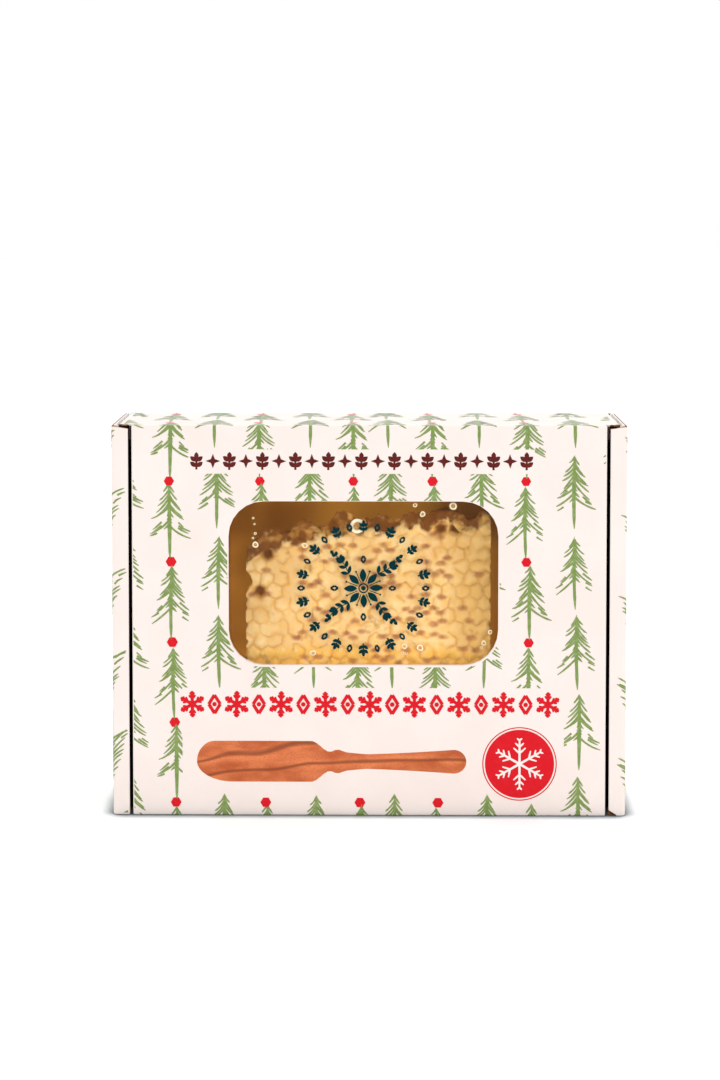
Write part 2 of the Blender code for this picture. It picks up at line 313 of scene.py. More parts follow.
def pocketMaterial():
    # The tray behind the tub, seen through the honey: painted shade makes it darker towards its left, right
    # and top, and a painted glow stands in for light that the honey spreads onto it
    material, tree, shader = newMaterial("trayBoard", 0.8, 0.1)
    grain = addGroup(tree, paperGrain, {"Mottle scale": 20.0})
    x, y, z = objectAxes(tree)
    left, right = mapRange(tree, x, -20 * mm, -44 * mm, 0.0, 0.95), mapRange(tree, x, 5 * mm, 35 * mm)
    sides = addMath(tree, "MAXIMUM", right, left)
    upper = addMath(tree, "MULTIPLY", sides, mapRange(tree, z, 84 * mm, 101 * mm))
    darker = addMath(tree, "MAXIMUM", upper, mapRange(tree, x, 38 * mm, 46 * mm, 0.0, 0.65))
    tone = addMath(tree, "MAXIMUM", mapRange(tree, grain["Mottle"], 0.40, 0.66, 0.1, 1.0), darker)
    tree.links.new(mixColour(tree, tone, (0.80, 0.60, 0.40), (0.45, 0.30, 0.16)), shader.inputs["Base Color"])
    glow = mixColour(tree, tone, (1.0, 0.72, 0.32), (0.22, 0.12, 0.03))
    tree.links.new(glow, shader.inputs["Emission Color"])
    shader.inputs["Emission Strength"].default_value = 0.24
    return material


def inkMaterial(name, colour, worn, roughness=0.45, wear=0.5):
    # Flat print whose colour thins where the paper took less ink
    material, tree, shader = newMaterial(name, roughness, 0.12)
    grain = addGroup(tree, paperGrain, {"Mottle scale": 700.0, "Fibre scale": 2200.0})
    patchy = mapRange(tree, grain["Mottle"], 0.42, 0.72, 0.0, wear)
    tree.links.new(mixColour(tree, patchy, colour, worn), shader.inputs["Base Color"])
    # Seen along the paper it washes out
    shader.inputs["Sheen Weight"].default_value = 0.7
    shader.inputs["Sheen Roughness"].default_value = 0.25
    addBump(tree, shader, grain["Fibre"], 0.12, 0.1 * mm)
    return material


def woodPrintMaterial():
    # A printed wood grain: broad swirls with a few dark veins, under a fine speckle
    material, tree, shader = newMaterial("woodPrint", 0.45, 0.12)
    place = tree.nodes.new("ShaderNodeTexCoord").outputs["Object"]
    flow = addNode(tree, "ShaderNodeMapping", {
        "Vector": place, "Scale": (1.0, 1.0, 2.6), "Rotation": (0.0, 0.22, 0.0),
    }).outputs[0]
    veins = addNode(tree, "ShaderNodeTexWave", {
        "Vector": flow, "Scale": 17.0, "Distortion": 9.0, "Detail": 2.0, "Detail Scale": 0.9,
    }, bands_direction="Z").outputs["Fac"]
    speckle = addNoise(tree, place, 2400.0, 3.0)
    swirl = mapRange(tree, addNoise(tree, flow, 75.0, 3.0), 0.38, 0.62)
    colour = mixColour(tree, swirl, (0.80, 0.23, 0.085), (0.53, 0.115, 0.036))
    for layer, low, high, shareLow, shareHigh, ink in (
        (veins, 0.0, 0.6, 0.25, 0.0, (0.42, 0.09, 0.03)),
        (veins, 0.86, 1.0, 0.0, 0.75, (0.20, 0.05, 0.02)),
        (speckle, 0.48, 0.72, 0.0, 0.55, (0.30, 0.075, 0.028)),
    ):
        colour = mixColour(tree, mapRange(tree, layer, low, high, shareLow, shareHigh), colour, ink)
    tree.links.new(colour, shader.inputs["Base Color"])
    return material


def passLamps(tree, shader, glint=0.12):
    # Clear pieces let the lamps light what lies behind them; seen straight on they hardly mirror the room
    shader.inputs["Specular Tint"].default_value = (glint, glint, glint, 1.0)
    clear = addNode(tree, "ShaderNodeBsdfTransparent")
    rays = addNode(tree, "ShaderNodeLightPath")
    lighting = addMath(tree, "MAXIMUM", rays.outputs["Is Shadow Ray"], rays.outputs["Is Diffuse Ray"])
    mixed = addNode(tree, "ShaderNodeMixShader", {0: lighting, 1: shader.outputs[0], 2: clear.outputs[0]})
    tree.links.new(mixed.outputs[0], tree.nodes["Material Output"].inputs["Surface"])


def clearPlasticMaterial():
    material, tree, shader = newMaterial("clearPlastic", 0.03)
    shader.inputs["Base Color"].default_value = (1.0, 1.0, 1.0, 1.0)
    shader.inputs["Transmission Weight"].default_value = 1.0
    shader.inputs["IOR"].default_value = 1.45
    haze = addNoise(tree, tree.nodes.new("ShaderNodeTexCoord").outputs["Object"], 40.0, 3.0)
    tree.links.new(mapRange(tree, haze, 0.35, 0.7, 0.01, 0.05), shader.inputs["Roughness"])
    passLamps(tree, shader)
    return material


honey = {"absorb": (0.972, 0.755, 0.0), "density": 80.0}


def honeyMaterial():
    material, tree, shader = newMaterial("honey", 0.22)
    shader.inputs["Base Color"].default_value = (1.0, 1.0, 1.0, 1.0)
    shader.inputs["Transmission Weight"].default_value = 1.0
    shader.inputs["IOR"].default_value = 1.45
    passLamps(tree, shader)
    depth = addNode(tree, "ShaderNodeVolumeAbsorption", {
        "Color": (*honey["absorb"], 1.0), "Density": honey["density"],
    })
    tree.links.new(depth.outputs[0], tree.nodes["Material Output"].inputs["Volume"])
    return material


wax = {
    "cap": (0.80, 0.53, 0.26),
    "pale": (0.91, 0.67, 0.37),
    "gold": (0.82, 0.49, 0.115),
    "line": (0.64, 0.35, 0.13),
    "bare": (0.50, 0.24, 0.13),
    "torn": (0.215, 0.076, 0.015),
    "shred": (0.54, 0.28, 0.085),
    "open": (0.24, 0.095, 0.024),
    "shade": (0.10, 0.06, 0.04),
    "scatterGlow": 0.24,
}


def waxMaterial():
    # Pale cappings, golden towards the foot and the right, brown where they part, are torn or stand open; the
    # brown at walls and partings is partly painted shade, the ends carry painted shade, and a painted glow
    # lights them
    material, tree, shader = newMaterial("combWax", 0.6, 0.05)
    place = tree.nodes.new("ShaderNodeTexCoord").outputs["Object"]
    x, y, z = addNode(tree, "ShaderNodeSeparateXYZ", {0: place}).outputs

    def cloud(scale, detail, low, high, outLow=0.0, outHigh=1.0):
        return mapRange(tree, addNoise(tree, place, scale, detail), low, high, outLow, outHigh)

    def attribute(name):
        return addNode(tree, "ShaderNodeAttribute", attribute_name=name).outputs["Fac"]

    cap, spot, torn = attribute("cap"), attribute("spot"), attribute("torn")
    colour = mixColour(tree, cloud(75.0, 2.0, 0.38, 0.62), wax["cap"], wax["pale"])
    colour = mixColour(tree, cloud(330.0, 4.0, 0.42, 0.70, 0.0, 0.6), colour, wax["gold"])
    nearFoot = mapRange(tree, z, 61.5 * mm, 58.5 * mm)
    foot = addMath(tree, "MULTIPLY", nearFoot, cloud(240.0, 3.0, 0.35, 0.55, 0.3, 1.0))
    right = mapRange(tree, x, 22 * mm, 44 * mm, 0.0, 0.6)
    colour = mixColour(tree, addMath(tree, "MAXIMUM", foot, right), colour, wax["gold"])
    # Brown near the walls and where cappings part: partly the wax's own darker joins, partly painted shade in
    # the creases between caps
    nearWall = mapRange(tree, cap, 0.50, 0.0)
    seamShade = addMath(tree, "MULTIPLY", nearWall, cloud(190.0, 2.0, 0.35, 0.60, 0.15, 0.70))
    colour = mixColour(tree, seamShade, colour, wax["line"])
    partedShade = addMath(tree, "MULTIPLY", spot, cloud(420.0, 3.0, 0.30, 0.55, 0.5, 0.95))
    colour = mixColour(tree, partedShade, colour, wax["bare"])
    colour = mixColour(tree, mapRange(tree, cap, -0.30, -0.85), colour, wax["open"])
    ragged = mapRange(tree, addMath(tree, "ADD", torn, cloud(200.0, 4.0, 0.3, 0.7, -0.5, 0.5)), 0.35, 0.8)
    streaks = mixColour(tree, cloud(330.0, 5.0, 0.52, 0.74), wax["torn"], wax["shred"])
    colour = mixColour(tree, ragged, colour, streaks)
    # Painted shade: darker towards the left and right ends of the comb
    leftEnd = mapRange(tree, x, -24 * mm, -43 * mm, 0.0, 0.24)
    rightEnd = mapRange(tree, x, 22 * mm, 42 * mm, 0.0, 0.30)
    colour = mixColour(tree, addMath(tree, "MAXIMUM", leftEnd, rightEnd), colour, wax["shade"])
    tree.links.new(colour, shader.inputs["Base Color"])
    # Painted light: a glow standing in for light spread through the honey and the wax, most at the foot
    scatterGlow = mapRange(tree, z, 92 * mm, 58 * mm, 0.45, 0.95)
    tree.links.new(mixColour(tree, scatterGlow, (0.0, 0.0, 0.0), colour), shader.inputs["Emission Color"])
    shader.inputs["Emission Strength"].default_value = wax["scatterGlow"]
    shader.inputs["Subsurface Weight"].default_value = 0.25
    shader.inputs["Subsurface Radius"].default_value = (1.0, 0.6, 0.25)
    shader.inputs["Subsurface Scale"].default_value = 1.5 * mm
    addBump(tree, shader, cloud(700.0, 4.0, 0.0, 1.0), 0.4, 0.5 * mm)
    return material


def bubbleMaterial():
    # Painted highlight: the bright rim and faint middle that an air bubble shows against honey, where it
    # reflects the light
    material, tree, shader = newMaterial("airBubble", 0.12)
    rim = addNode(tree, "ShaderNodeAttribute", attribute_name="rim").outputs["Fac"]
    tree.links.new(mixColour(tree, rim, (0.90, 0.50, 0.13), (1.0, 0.93, 0.70)), shader.inputs["Base Color"])
    tree.links.new(mapRange(tree, rim, 0.1, 0.6, 0.35, 1.0), shader.inputs["Alpha"])
    return material


print("materials")


# The carton keeps its solid's form, with each kind of surface given its own finish or painted shade

def isInside(low, value, high):
    return low < value < high


cartonEnds = {
    "cutLine": 0.75 * mm,    # brown edge of the outer ply, and how far down it shows
    "cutLineDrop": 0.48 * mm,
    "rawBand": (88.3 * mm, 90.1 * mm),
    "bareDrop": 1.4 * mm,
    "grooveStart": 5.4 * mm,
    "grooveDrop": 2 * mm,
    "hollowEdge": 0.55 * mm,
    "hollowReach": 3.7 * mm,
    "hollowDepth": (1.55 * mm, 3.9 * mm),
    "slotTop": 6 * mm,       # in this much of its height the slot is dark only so deep,
    "slotTopDepth": 4 * mm,  # because the top panel covers the rest
    "slotMouth": 0.3 * mm,
    "snip": 2.5 * mm,
    "rimDepth": 2 * mm,
    "rimFoot": 2.7 * mm,
    "tuckSeam": (1.5 * mm, 2.2 * mm),
    "pocketHalf": (56 * mm, 38 * mm),
    "pocketWall": 5 * mm,
}


def cartonFinishOrShade(centre, normal):
    x, z, depth = abs(centre.x), centre.z, centre.y - frontY
    upright, level = abs(normal.z) < 0.5, abs(normal.z) > 0.6
    pocketWidth, pocketHeight = cartonEnds["pocketHalf"]
    inPocket = abs(centre.x - window["x"]) < pocketWidth and abs(z - window["z"]) < pocketHeight
    # The pocket's walls take the tray board, with its painted shade and glow
    if inPocket and depth > board["thickness"] - 0.01 * mm and centre.y < backY - cartonEnds["pocketWall"]:
        return "pocket"
    rimInside = sideX - board["rimWidth"]
    atTop = z > topZ - cartonEnds["slotTop"]
    slotEnd = cartonEnds["slotTopDepth"] if atTop else -frontY
    inSlot = isInside(lidHalf - 0.1 * mm, x, rimInside + 0.1 * mm)
    # Dark here, in the hollows and in the tuck seam below is painted shade
    if inSlot and isInside(cartonEnds["slotMouth"], depth, slotEnd):
        return "kraft" if z < cartonEnds["snip"] else "dark"
    hollowStart, hollowEnd = cartonEnds["hollowDepth"]
    inHollow = isInside(lidHalf, x, rimInside + cartonEnds["hollowReach"])
    if atTop and inHollow and isInside(hollowStart, depth, hollowEnd) and (upright or z < topZ - 1 * mm):
        return "kraft" if z > topZ - cartonEnds["hollowEdge"] and depth > cartonEnds["rimDepth"] else "dark"
    rim = x > lidHalf + 0.3 * mm and depth < cartonEnds["rimDepth"]
    if rim and z < cartonEnds["rimFoot"] and (depth > 1 * mm or level):
        return "kraft"
    if x > sideX - cartonEnds["cutLine"] and z > topZ - cartonEnds["cutLineDrop"]:
        return "kraft"
    bareStart, bareEnd = cartonEnds["rawBand"]
    atBare = z > topZ - cartonEnds["bareDrop"]
    # Raw is the unprinted board in its tones of painted light and shade, here and in the groove below
    if isInside(bareStart, x, bareEnd) and depth < cartonEnds["grooveStart"] and atBare and normal.z > 0.5:
        return "raw"
    if rim and atBare and level:
        return "kraft"
    plyInside = sideX - board["outerPly"]
    inGroove = isInside(plyInside - board["foldDip"] - 0.01 * mm, x, plyInside + 0.01 * mm)
    if inGroove and depth > cartonEnds["grooveStart"] - 0.1 * mm and z > topZ - cartonEnds["grooveDrop"]:
        if normal.z < 0.95:
            return "raw"
    seamStart, seamEnd = cartonEnds["tuckSeam"]
    if centre.y < 0 and z < board["thickness"] and isInside(seamStart, depth, seamEnd):
        if upright or z > 1 * mm:
            return "dark"
    return "liner"


def cutAcross(bm, place, normal, reach, lowest=-1 * mm):
    # Divides the faces whose distance from the middle and height lie in the given range
    chosen = []
    for face in bm.faces:
        middle = face.calc_center_median()
        if isInside(reach[0], abs(middle.x), reach[1]) and middle.z > lowest:
            chosen.append(face)
    around = {item for face in chosen for item in (face, *face.edges, *face.verts)}
    bmesh.ops.bisect_plane(bm, geom=list(around), plane_co=place, plane_no=normal, dist=0.001 * mm)


def addSlotCover(bm, sign):
    # The top panel goes on over the slot
    edge = board["topRound"]
    low, high = lidHalf - edge, sideX - board["rimWidth"] + edge
    start, end = frontY + cartonEnds["slotTopDepth"], frontY + board["slotDepth"]
    size = Vector((high - low, end - start, 1.2 * edge))
    middle = Vector((sign * (low + high) / 2, (start + end) / 2, topZ - size.z / 2))
    made = bmesh.ops.create_cube(bm, size=1.0)
    for vert in made["verts"]:
        vert.co = Vector(part * length for part, length in zip(vert.co, size)) + middle


def makeCarton():
    finishesAndShades = {
        "liner": linerMaterial(),
        "kraft": kraftMaterial(),
        "dark": insideMaterial(),
        "pocket": pocketMaterial(),
        "raw": rawBoardShadingMaterial(),
    }
    bm = bmesh.new()
    bm.from_mesh(frame["nodes"]["carton"].data)
    bmesh.ops.remove_doubles(bm, verts=bm.verts, dist=0.001 * mm)
    slots = lidHalf - 0.7 * mm, sideX - 5 * mm
    cutAcross(bm, (0, frontY + cartonEnds["slotTopDepth"], 0), (0, 1, 0), slots)
    for height in (topZ - cartonEnds["slotTop"], cartonEnds["snip"]):
        cutAcross(bm, (0, 0, height), (0, 0, 1), slots)
    hollows = slots[0], sideX - 2.2 * mm
    cutAcross(bm, (0, 0, topZ - cartonEnds["hollowEdge"]), (0, 0, 1), hollows, topZ - cartonEnds["slotTop"])
    topOnly = topZ - 1.5 * mm
    cutAcross(bm, (0, frontY + cartonEnds["grooveStart"], 0), (0, 1, 0), (0, sideX), topOnly)
    for sign in (-1, 1):
        for x in (*cartonEnds["rawBand"], sideX - cartonEnds["cutLine"]):
            cutAcross(bm, (sign * x, 0, 0), (1, 0, 0), (0, sideX), topOnly)
    names = list(finishesAndShades)
    for face in bm.faces:
        face.material_index = names.index(cartonFinishOrShade(face.calc_center_median(), face.normal))
        face.smooth = True
    for sign in (-1, 1):
        addSlotCover(bm, sign)
    for edge in bm.edges:
        if len(edge.link_faces) == 2:
            apart = edge.calc_face_angle(0)
            kinds = {face.material_index for face in edge.link_faces}
            edge.smooth = apart < math.radians(35) and len(kinds) == 1
    carton = showMesh("cartonBoard", bm)
    for material in finishesAndShades.values():
        carton.data.materials.append(material)
    weighted = carton.modifiers.new("flatPanels", "WEIGHTED_NORMAL")
    weighted.keep_sharp = True
    return carton


carton = makeCarton()
print("carton")


# Print: motifs are drawn flat, stamped on points by one geometry tree, trimmed, and wrapped round the carton

def makeStampTree():
    tree, given, result = newGroup(
        "stampMotifs", "GeometryNodeTree",
        [
            ("Points", "Geometry", None), ("Motifs", "Collection", None), ("Size jitter", "Float", 0.0),
            ("Turn jitter", "Float", 0.0), ("Seed", "Int", 0), ("Finish", "Material", None),
        ],
        [("Drawn", "Geometry", None)],
    )
    motifs = addNode(tree, "GeometryNodeCollectionInfo", {
        "Collection": given["Motifs"], "Separate Children": True, "Reset Children": True,
    })
    which = addNode(tree, "GeometryNodeInputNamedAttribute", {"Name": "motif"}, data_type="INT")
    turn = addNode(tree, "GeometryNodeInputNamedAttribute", {"Name": "turn"}, data_type="FLOAT")
    size = addNode(tree, "GeometryNodeInputNamedAttribute", {"Name": "size"}, data_type="FLOAT")
    jitters = []
    for label, seedStep in (("Size jitter", 0), ("Turn jitter", 17)):
        draw = addNode(tree, "FunctionNodeRandomValue", {
            2: addMath(tree, "MULTIPLY", given[label], -1.0), 3: given[label],
            8: addMath(tree, "ADD", given["Seed"], float(seedStep)),
        }, data_type="FLOAT")
        jitters.append(draw.outputs[1])
    scale = addMath(tree, "MULTIPLY", size.outputs[0], addMath(tree, "ADD", jitters[0], 1.0))
    angle = addNode(tree, "ShaderNodeCombineXYZ", {2: addMath(tree, "ADD", turn.outputs[0], jitters[1])})
    stamps = addNode(tree, "GeometryNodeInstanceOnPoints", {
        "Points": given["Points"], "Instance": motifs.outputs[0], "Pick Instance": True,
        "Instance Index": which.outputs[0], "Rotation": angle.outputs[0], "Scale": scale,
    })
    finishMesh(tree, stamps.outputs[0], given["Finish"], result["Drawn"])
    return tree


stampTree = makeStampTree()
stackStep = 0.00015 * mm  # overlapping strokes must not share a plane


def stampMotifs(name, places, drawings, material, sizeJitter=0.0, turnJitter=0.0, seed=0):
    # places holds x, y, turn, size and the number of a drawing for each stamp
    motifs = bpy.data.collections.new(name + "Motifs")
    for i, drawing in enumerate(drawings):
        mesh = bpy.data.meshes.new(f"{name}Motif{i:02d}")
        drawing.to_mesh(mesh)
        drawing.free()
        motifs.objects.link(bpy.data.objects.new(mesh.name, mesh))
    points = bpy.data.meshes.new(name + "Points")
    layers = [(i % 2) * stackStep * 200 for i in range(len(places))]
    points.from_pydata([(place[0], place[1], layer) for place, layer in zip(places, layers)], [], [])
    for label, kind, index in (("turn", "FLOAT", 2), ("size", "FLOAT", 3), ("motif", "INT", 4)):
        values = points.attributes.new(label, kind, "POINT").data
        values.foreach_set("value", [place[index] for place in places])
    base = bpy.data.objects.new(name + "Points", points)
    bpy.context.scene.collection.objects.link(base)
    values = {
        "Motifs": motifs,
        "Size jitter": sizeJitter,
        "Turn jitter": turnJitter,
        "Seed": seed,
        "Finish": material,
    }
    stamped = useGeometryTree(base, stampTree, values, name)
    for obj in list(motifs.objects):
        bpy.data.objects.remove(obj, do_unlink=True)
    bpy.data.collections.remove(motifs)
    return stamped


def addStroke(bm, path, halfWidths):
    # A flat brush stroke along a path, a hair above the strokes drawn before it
    sides = []
    z = len(bm.faces) * stackStep
    for i, point in enumerate(path):
        along = (path[min(i + 1, len(path) - 1)] - path[max(i - 1, 0)]).normalized()
        across = Vector((-along.y, along.x)) * halfWidths[i]
        left, right = point + across, point - across
        sides.append((bm.verts.new((left.x, left.y, z)), bm.verts.new((right.x, right.y, z))))
    for (leftA, rightA), (leftB, rightB) in zip(sides, sides[1:]):
        bm.faces.new((leftA, rightA, rightB, leftB))


def addDisc(bm, centre, radius, steps=20, inner=None):
    z = len(bm.faces) * stackStep
    loop = [bm.verts.new((*point, z)) for point in arcPoints(centre, radius, 0, 360, steps)[:-1]]
    if inner is None:
        bm.faces.new(loop)
        return
    hole = [bm.verts.new((*point, z)) for point in arcPoints(centre, inner, 0, 360, steps)[:-1]]
    for i in range(steps):
        j = (i + 1) % steps
        bm.faces.new((loop[i], loop[j], hole[j], hole[i]))


def boxRound(outline, reach):
    xs, ys = [point.x for point in outline], [point.y for point in outline]
    return (min(xs) - reach, max(xs) + reach), (min(ys) - reach, max(ys) + reach)


def isInBox(x, y, box):
    (lowX, highX), (lowY, highY) = box
    return isInside(lowX, x, highX) and isInside(lowY, y, highY)


def isLeftOf(start, end, point):
    return (end.x - start.x) * (point.y - start.y) > (end.y - start.y) * (point.x - start.x)


longestStroke = 8 * mm


def cutAway(bm, outline):
    # Takes a convex outline out of the flat print
    box = boxRound(outline, longestStroke)
    near = []
    for face in bm.faces:
        centre = face.calc_center_median()
        if isInBox(centre.x, centre.y, box):
            near.append(face)
    edges = list(zip(outline, outline[1:] + outline[:1]))
    for start, end in edges:
        around = {item for face in near for item in (face, *face.edges, *face.verts)}
        normal = Vector((end.y - start.y, start.x - end.x, 0))
        cut = bmesh.ops.bisect_plane(
            bm, geom=list(around), plane_co=start.to_3d(), plane_no=normal, dist=0.0005 * mm
        )
        near = [item for item in cut["geom"] if isinstance(item, bmesh.types.BMFace)]
    gone = []
    for face in near:
        centre = face.calc_center_median()
        if all(isLeftOf(start, end, centre) for start, end in edges):
            gone.append(face)
    bmesh.ops.delete(bm, geom=gone, context="FACES")


def bisectPrint(bm, place, normal, trim=False):
    bmesh.ops.bisect_plane(
        bm, geom=bm.faces[:] + bm.edges[:] + bm.verts[:], plane_co=place, plane_no=normal,
        dist=0.0005 * mm, clear_outer=trim,
    )


def keepBetween(bm, low, high):
    for corner, sign in ((low, -1), (high, 1)):
        for axis in (0, 1):
            normal = [0, 0, 0]
            normal[axis] = sign
            bisectPrint(bm, (corner[0], corner[1], 0), normal, True)


def rectangle(lowX, highX, lowY, highY):
    return [Vector(p) for p in ((lowX, lowY), (highX, lowY), (highX, highY), (lowX, highY))]


def stations(profile):
    lengths = [0.0]
    for start, end in zip(profile, profile[1:]):
        lengths.append(lengths[-1] + (end - start).length)
    return lengths


def layOn(profile, lengths, distance, lift):
    # The point that far along the profile, lifted off its left side
    distance = min(max(distance, 0.0), lengths[-1])
    i = next((k for k in range(len(lengths) - 2) if distance <= lengths[k + 1]), len(lengths) - 2)
    share = (distance - lengths[i]) / (lengths[i + 1] - lengths[i])

    def outward(k):
        total = Vector((0, 0))
        for start, end in zip(profile[max(k - 1, 0):], profile[max(k, 1):min(k + 2, len(profile))]):
            along = (end - start).normalized()
            total += Vector((-along.y, along.x))
        return total.normalized()

    normal = outward(i).lerp(outward(i + 1), share).normalized()
    return profile[i].lerp(profile[i + 1], share) + normal * lift


inkLift = 0.03 * mm
roundOff = board["topRound"]
softEdge = ((0.0, roundOff), (0.3 * roundOff, 0.3 * roundOff), (roundOff, 0.0))


def wrapProfile():
    # Up the lid, over the top and down the back, as depth and height
    points = [(frontY + inset, step) for step, inset in softEdge]
    points += [(frontY + inset, topZ - step) for step, inset in reversed(softEdge)]
    points += [(backY - inset, topZ - step) for step, inset in softEdge]
    points += [(backY - inset, step) for step, inset in reversed(softEdge)]
    return [Vector(point) for point in points]


def sideProfile():
    # Over the right rim, round its fold and along the side to the back, as x and depth
    radius, slotEdge = board["foldRadius"], sideX - board["rimWidth"] + board["slotRound"]
    points = [Vector((slotEdge, frontY))]
    points += arcPoints((sideX - radius, frontY + radius), radius, 270, 360, 3)
    points += arcPoints((sideX - radius, backY - radius), radius, 0, 90, 3)
    return points


def wrapPrint(obj, profile, place, lift):
    lengths = stations(profile)
    bm = bmesh.new()
    bm.from_mesh(obj.data)
    axis = place["axis"]
    for length in lengths[1:-1]:
        centre, normal = [0, 0, 0], [0, 0, 0]
        centre[axis], normal[axis] = length, 1
        bisectPrint(bm, centre, normal)
    for vert in bm.verts:
        point = layOn(profile, lengths, vert.co[axis], (lift + vert.co.z) * place["side"])
        vert.co = place["point"](vert.co, point)
    bm.to_mesh(obj.data)
    bm.free()


def lidPoint(flat, point):
    return Vector((flat.x, point.x, point.y))


def rightPoint(flat, point):
    return Vector((point.x, point.y, flat.y))


wrapRound = {"axis": 1, "point": lidPoint, "side": 1}
wrapRight = {"axis": 0, "point": rightPoint, "side": -1}

fir = {
    "height": 27 * mm,
    "rowPitch": 29 * mm,
    "columnPitch": 16 * mm,
    "levels": 10,
    "branch": (3.4 * mm, 8.9 * mm),
    "slope": (66, 47),
    "trunkHalf": 0.58 * mm,
    "branchHalf": 0.35 * mm,
    "dashedFrom": 0.62,
    "berry": 1.9 * mm,
    "drop": 0.62,
    "lean": 0.017,
    "tipGap": 1.6 * mm,
}


def drawFir(seed):
    # One fir in brush strokes: a trunk, then pairs of branches that lengthen down it, the lowest broken
    rng = random.Random(seed)
    bm = bmesh.new()
    height = fir["height"]
    lean = rng.uniform(-0.3, 0.3) * mm
    steps = 12
    trunk = [Vector((lean * math.sin(3 * i / steps), height * i / steps)) for i in range(steps + 1)]
    shape = [0.2, 0.75, 0.95, 1.0, 1.05, 1.15, 1.2, 1.1, 1.0, 0.9, 0.75, 0.55, 0.12]
    addStroke(bm, trunk, [fir["trunkHalf"] * part * rng.uniform(0.88, 1.12) for part in shape])
    for level in range(fir["levels"]):
        share = level / (fir["levels"] - 1)
        for side in (-1, 1):
            start = height * (0.97 - 0.53 * share) + rng.uniform(-0.4, 0.4) * mm
            short, long = fir["branch"]
            length = (short + (long - short) * share ** 0.45) * rng.uniform(0.86, 1.08)
            steep, shallow = fir["slope"]
            slope = math.radians(steep + (shallow - steep) * share + rng.uniform(-4, 4))
            drawBranch(bm, rng, start, length, slope, side, share)
    return bm


def drawBranch(bm, rng, start, length, slope, side, share):
    segments = 6
    bend = rng.uniform(0.04, 0.14)
    path, widths = [], []
    for i in range(segments + 1):
        t = i / segments
        turn = slope - bend * t * 2.2
        path.append(Vector((side * length * t * math.cos(turn), start - length * t * math.sin(turn))))
        body = 1.1 - 0.35 * t if t < 0.9 else 0.35
        widths.append(fir["branchHalf"] * body * rng.uniform(0.8, 1.2))
    if share > fir["dashedFrom"] and rng.random() < 0.55:
        # A dry brush leaves dashes
        middle = rng.choice((2, 3))
        addStroke(bm, path[:middle], widths[:middle - 1] + [widths[middle] * 0.3])
        addStroke(bm, path[middle + 1:], [width * 1.1 for width in widths[middle + 1:]])
    else:
        addStroke(bm, path, widths)


def firPlaces(columns, rows, foot, seed):
    rng = random.Random(seed)
    places, berries = [], []
    for column, columnX in enumerate(columns):
        for row in range(-1, rows):
            y = foot + (row + (column % 2) * fir["drop"]) * fir["rowPitch"]
            x = columnX + fir["lean"] * (topZ - y)
            places.append((x + rng.uniform(-0.5, 0.5) * mm, y, 0.0, 1.0, rng.randrange(4)))
            if column % 2:
                gap = fir["rowPitch"] - fir["height"]
                berries.append((x + rng.uniform(-0.3, 0.3) * mm, y - gap / 2, 0.0, 1.0, 0))
    return places, berries


def drawBerry():
    bm = bmesh.new()
    addDisc(bm, (0, 0), fir["berry"], 6)
    return bm


green = inkMaterial("greenInk", (0.195, 0.285, 0.077), (0.37, 0.45, 0.19))
red = inkMaterial("redInk", (0.69, 0.006, 0.015), (0.73, 0.03, 0.04), wear=0.2)


def clearOf(places, zone):
    # Firs whose tip a field would cut start below it, and those with only a foot under it go
    kept = []
    for x, y, turn, size, pick in places:
        if isInside(zone[0].x, x, zone[2].x) and y < zone[0].y < y + fir["height"]:
            if zone[0].y - y < 0.25 * fir["height"]:
                continue
            y = zone[0].y - fir["height"] - fir["tipGap"]
        kept.append((x, y, turn, size, pick))
    return kept


def printForest(name, columns, rows, foot, low, high, zones, profile, place, seed, turned=False, field=None):
    places, berries = firPlaces(columns, rows, foot, seed)
    boxes = [boxRound(zone, fir["berry"]) for zone in zones]
    berries = [spot for spot in berries if not any(isInBox(spot[0], spot[1], box) for box in boxes)]
    if field:
        places = clearOf(places, field)
    if turned:
        middle = low[1] + high[1]
        places = [(x, middle - y, math.pi, size, pick) for x, y, turn, size, pick in places]
        berries = [(x, middle - y, turn, size, pick) for x, y, turn, size, pick in berries]
    layers = (
        (name + "Firs", places, [drawFir(seed * 10 + i) for i in range(4)], green, 0.03),
        (name + "Berries", berries, [drawBerry()], red, 0.06),
    )
    made = []
    for label, spots, drawings, ink, jitter in layers:
        layer = stampMotifs(label, spots, drawings, ink, sizeJitter=jitter, turnJitter=0.02, seed=seed)
        bm = bmesh.new()
        bm.from_mesh(layer.data)
        keepBetween(bm, low, high)
        for zone in zones:
            cutAway(bm, zone)
        bm.to_mesh(layer.data)
        bm.free()
        wrapPrint(layer, profile, place, inkLift)
        made.append(layer)
    return made


def fromPhoto(x, y):
    # A point of the lid in the photo, as its x and height
    scale = photo["pixelsPerMetre"]
    return Vector(((x - photo["cartonMiddle"]) / scale, (photo["footLine"] - y) / scale))


def photoBox(left, right, top, bottom):
    low, high = fromPhoto(left, bottom), fromPhoto(right, top)
    return rectangle(low.x, high.x, low.y, high.y)


discMiddle, discRadius = fromPhoto(519, 763), 12.4 * mm
windowMargin = 0.45 * mm
windowZone = roundedOutline(
    (window["x"], window["z"]), window["width"] + 2 * windowMargin, window["height"] + 2 * windowMargin,
    window["radius"] + windowMargin,
)
titleField = photoBox(183, 563, 686, 788)
lidZones = [
    windowZone,
    photoBox(190, 533, 447.5, 472),
    titleField,
    arcPoints(discMiddle, discRadius + 2 * mm, 0, 360, 24)[:-1],
]
printed = []
wrap = wrapProfile()
wrapEnd = stations(wrap)[-1]
wrapHalf = sideX - board["foldRadius"] - 0.2 * mm
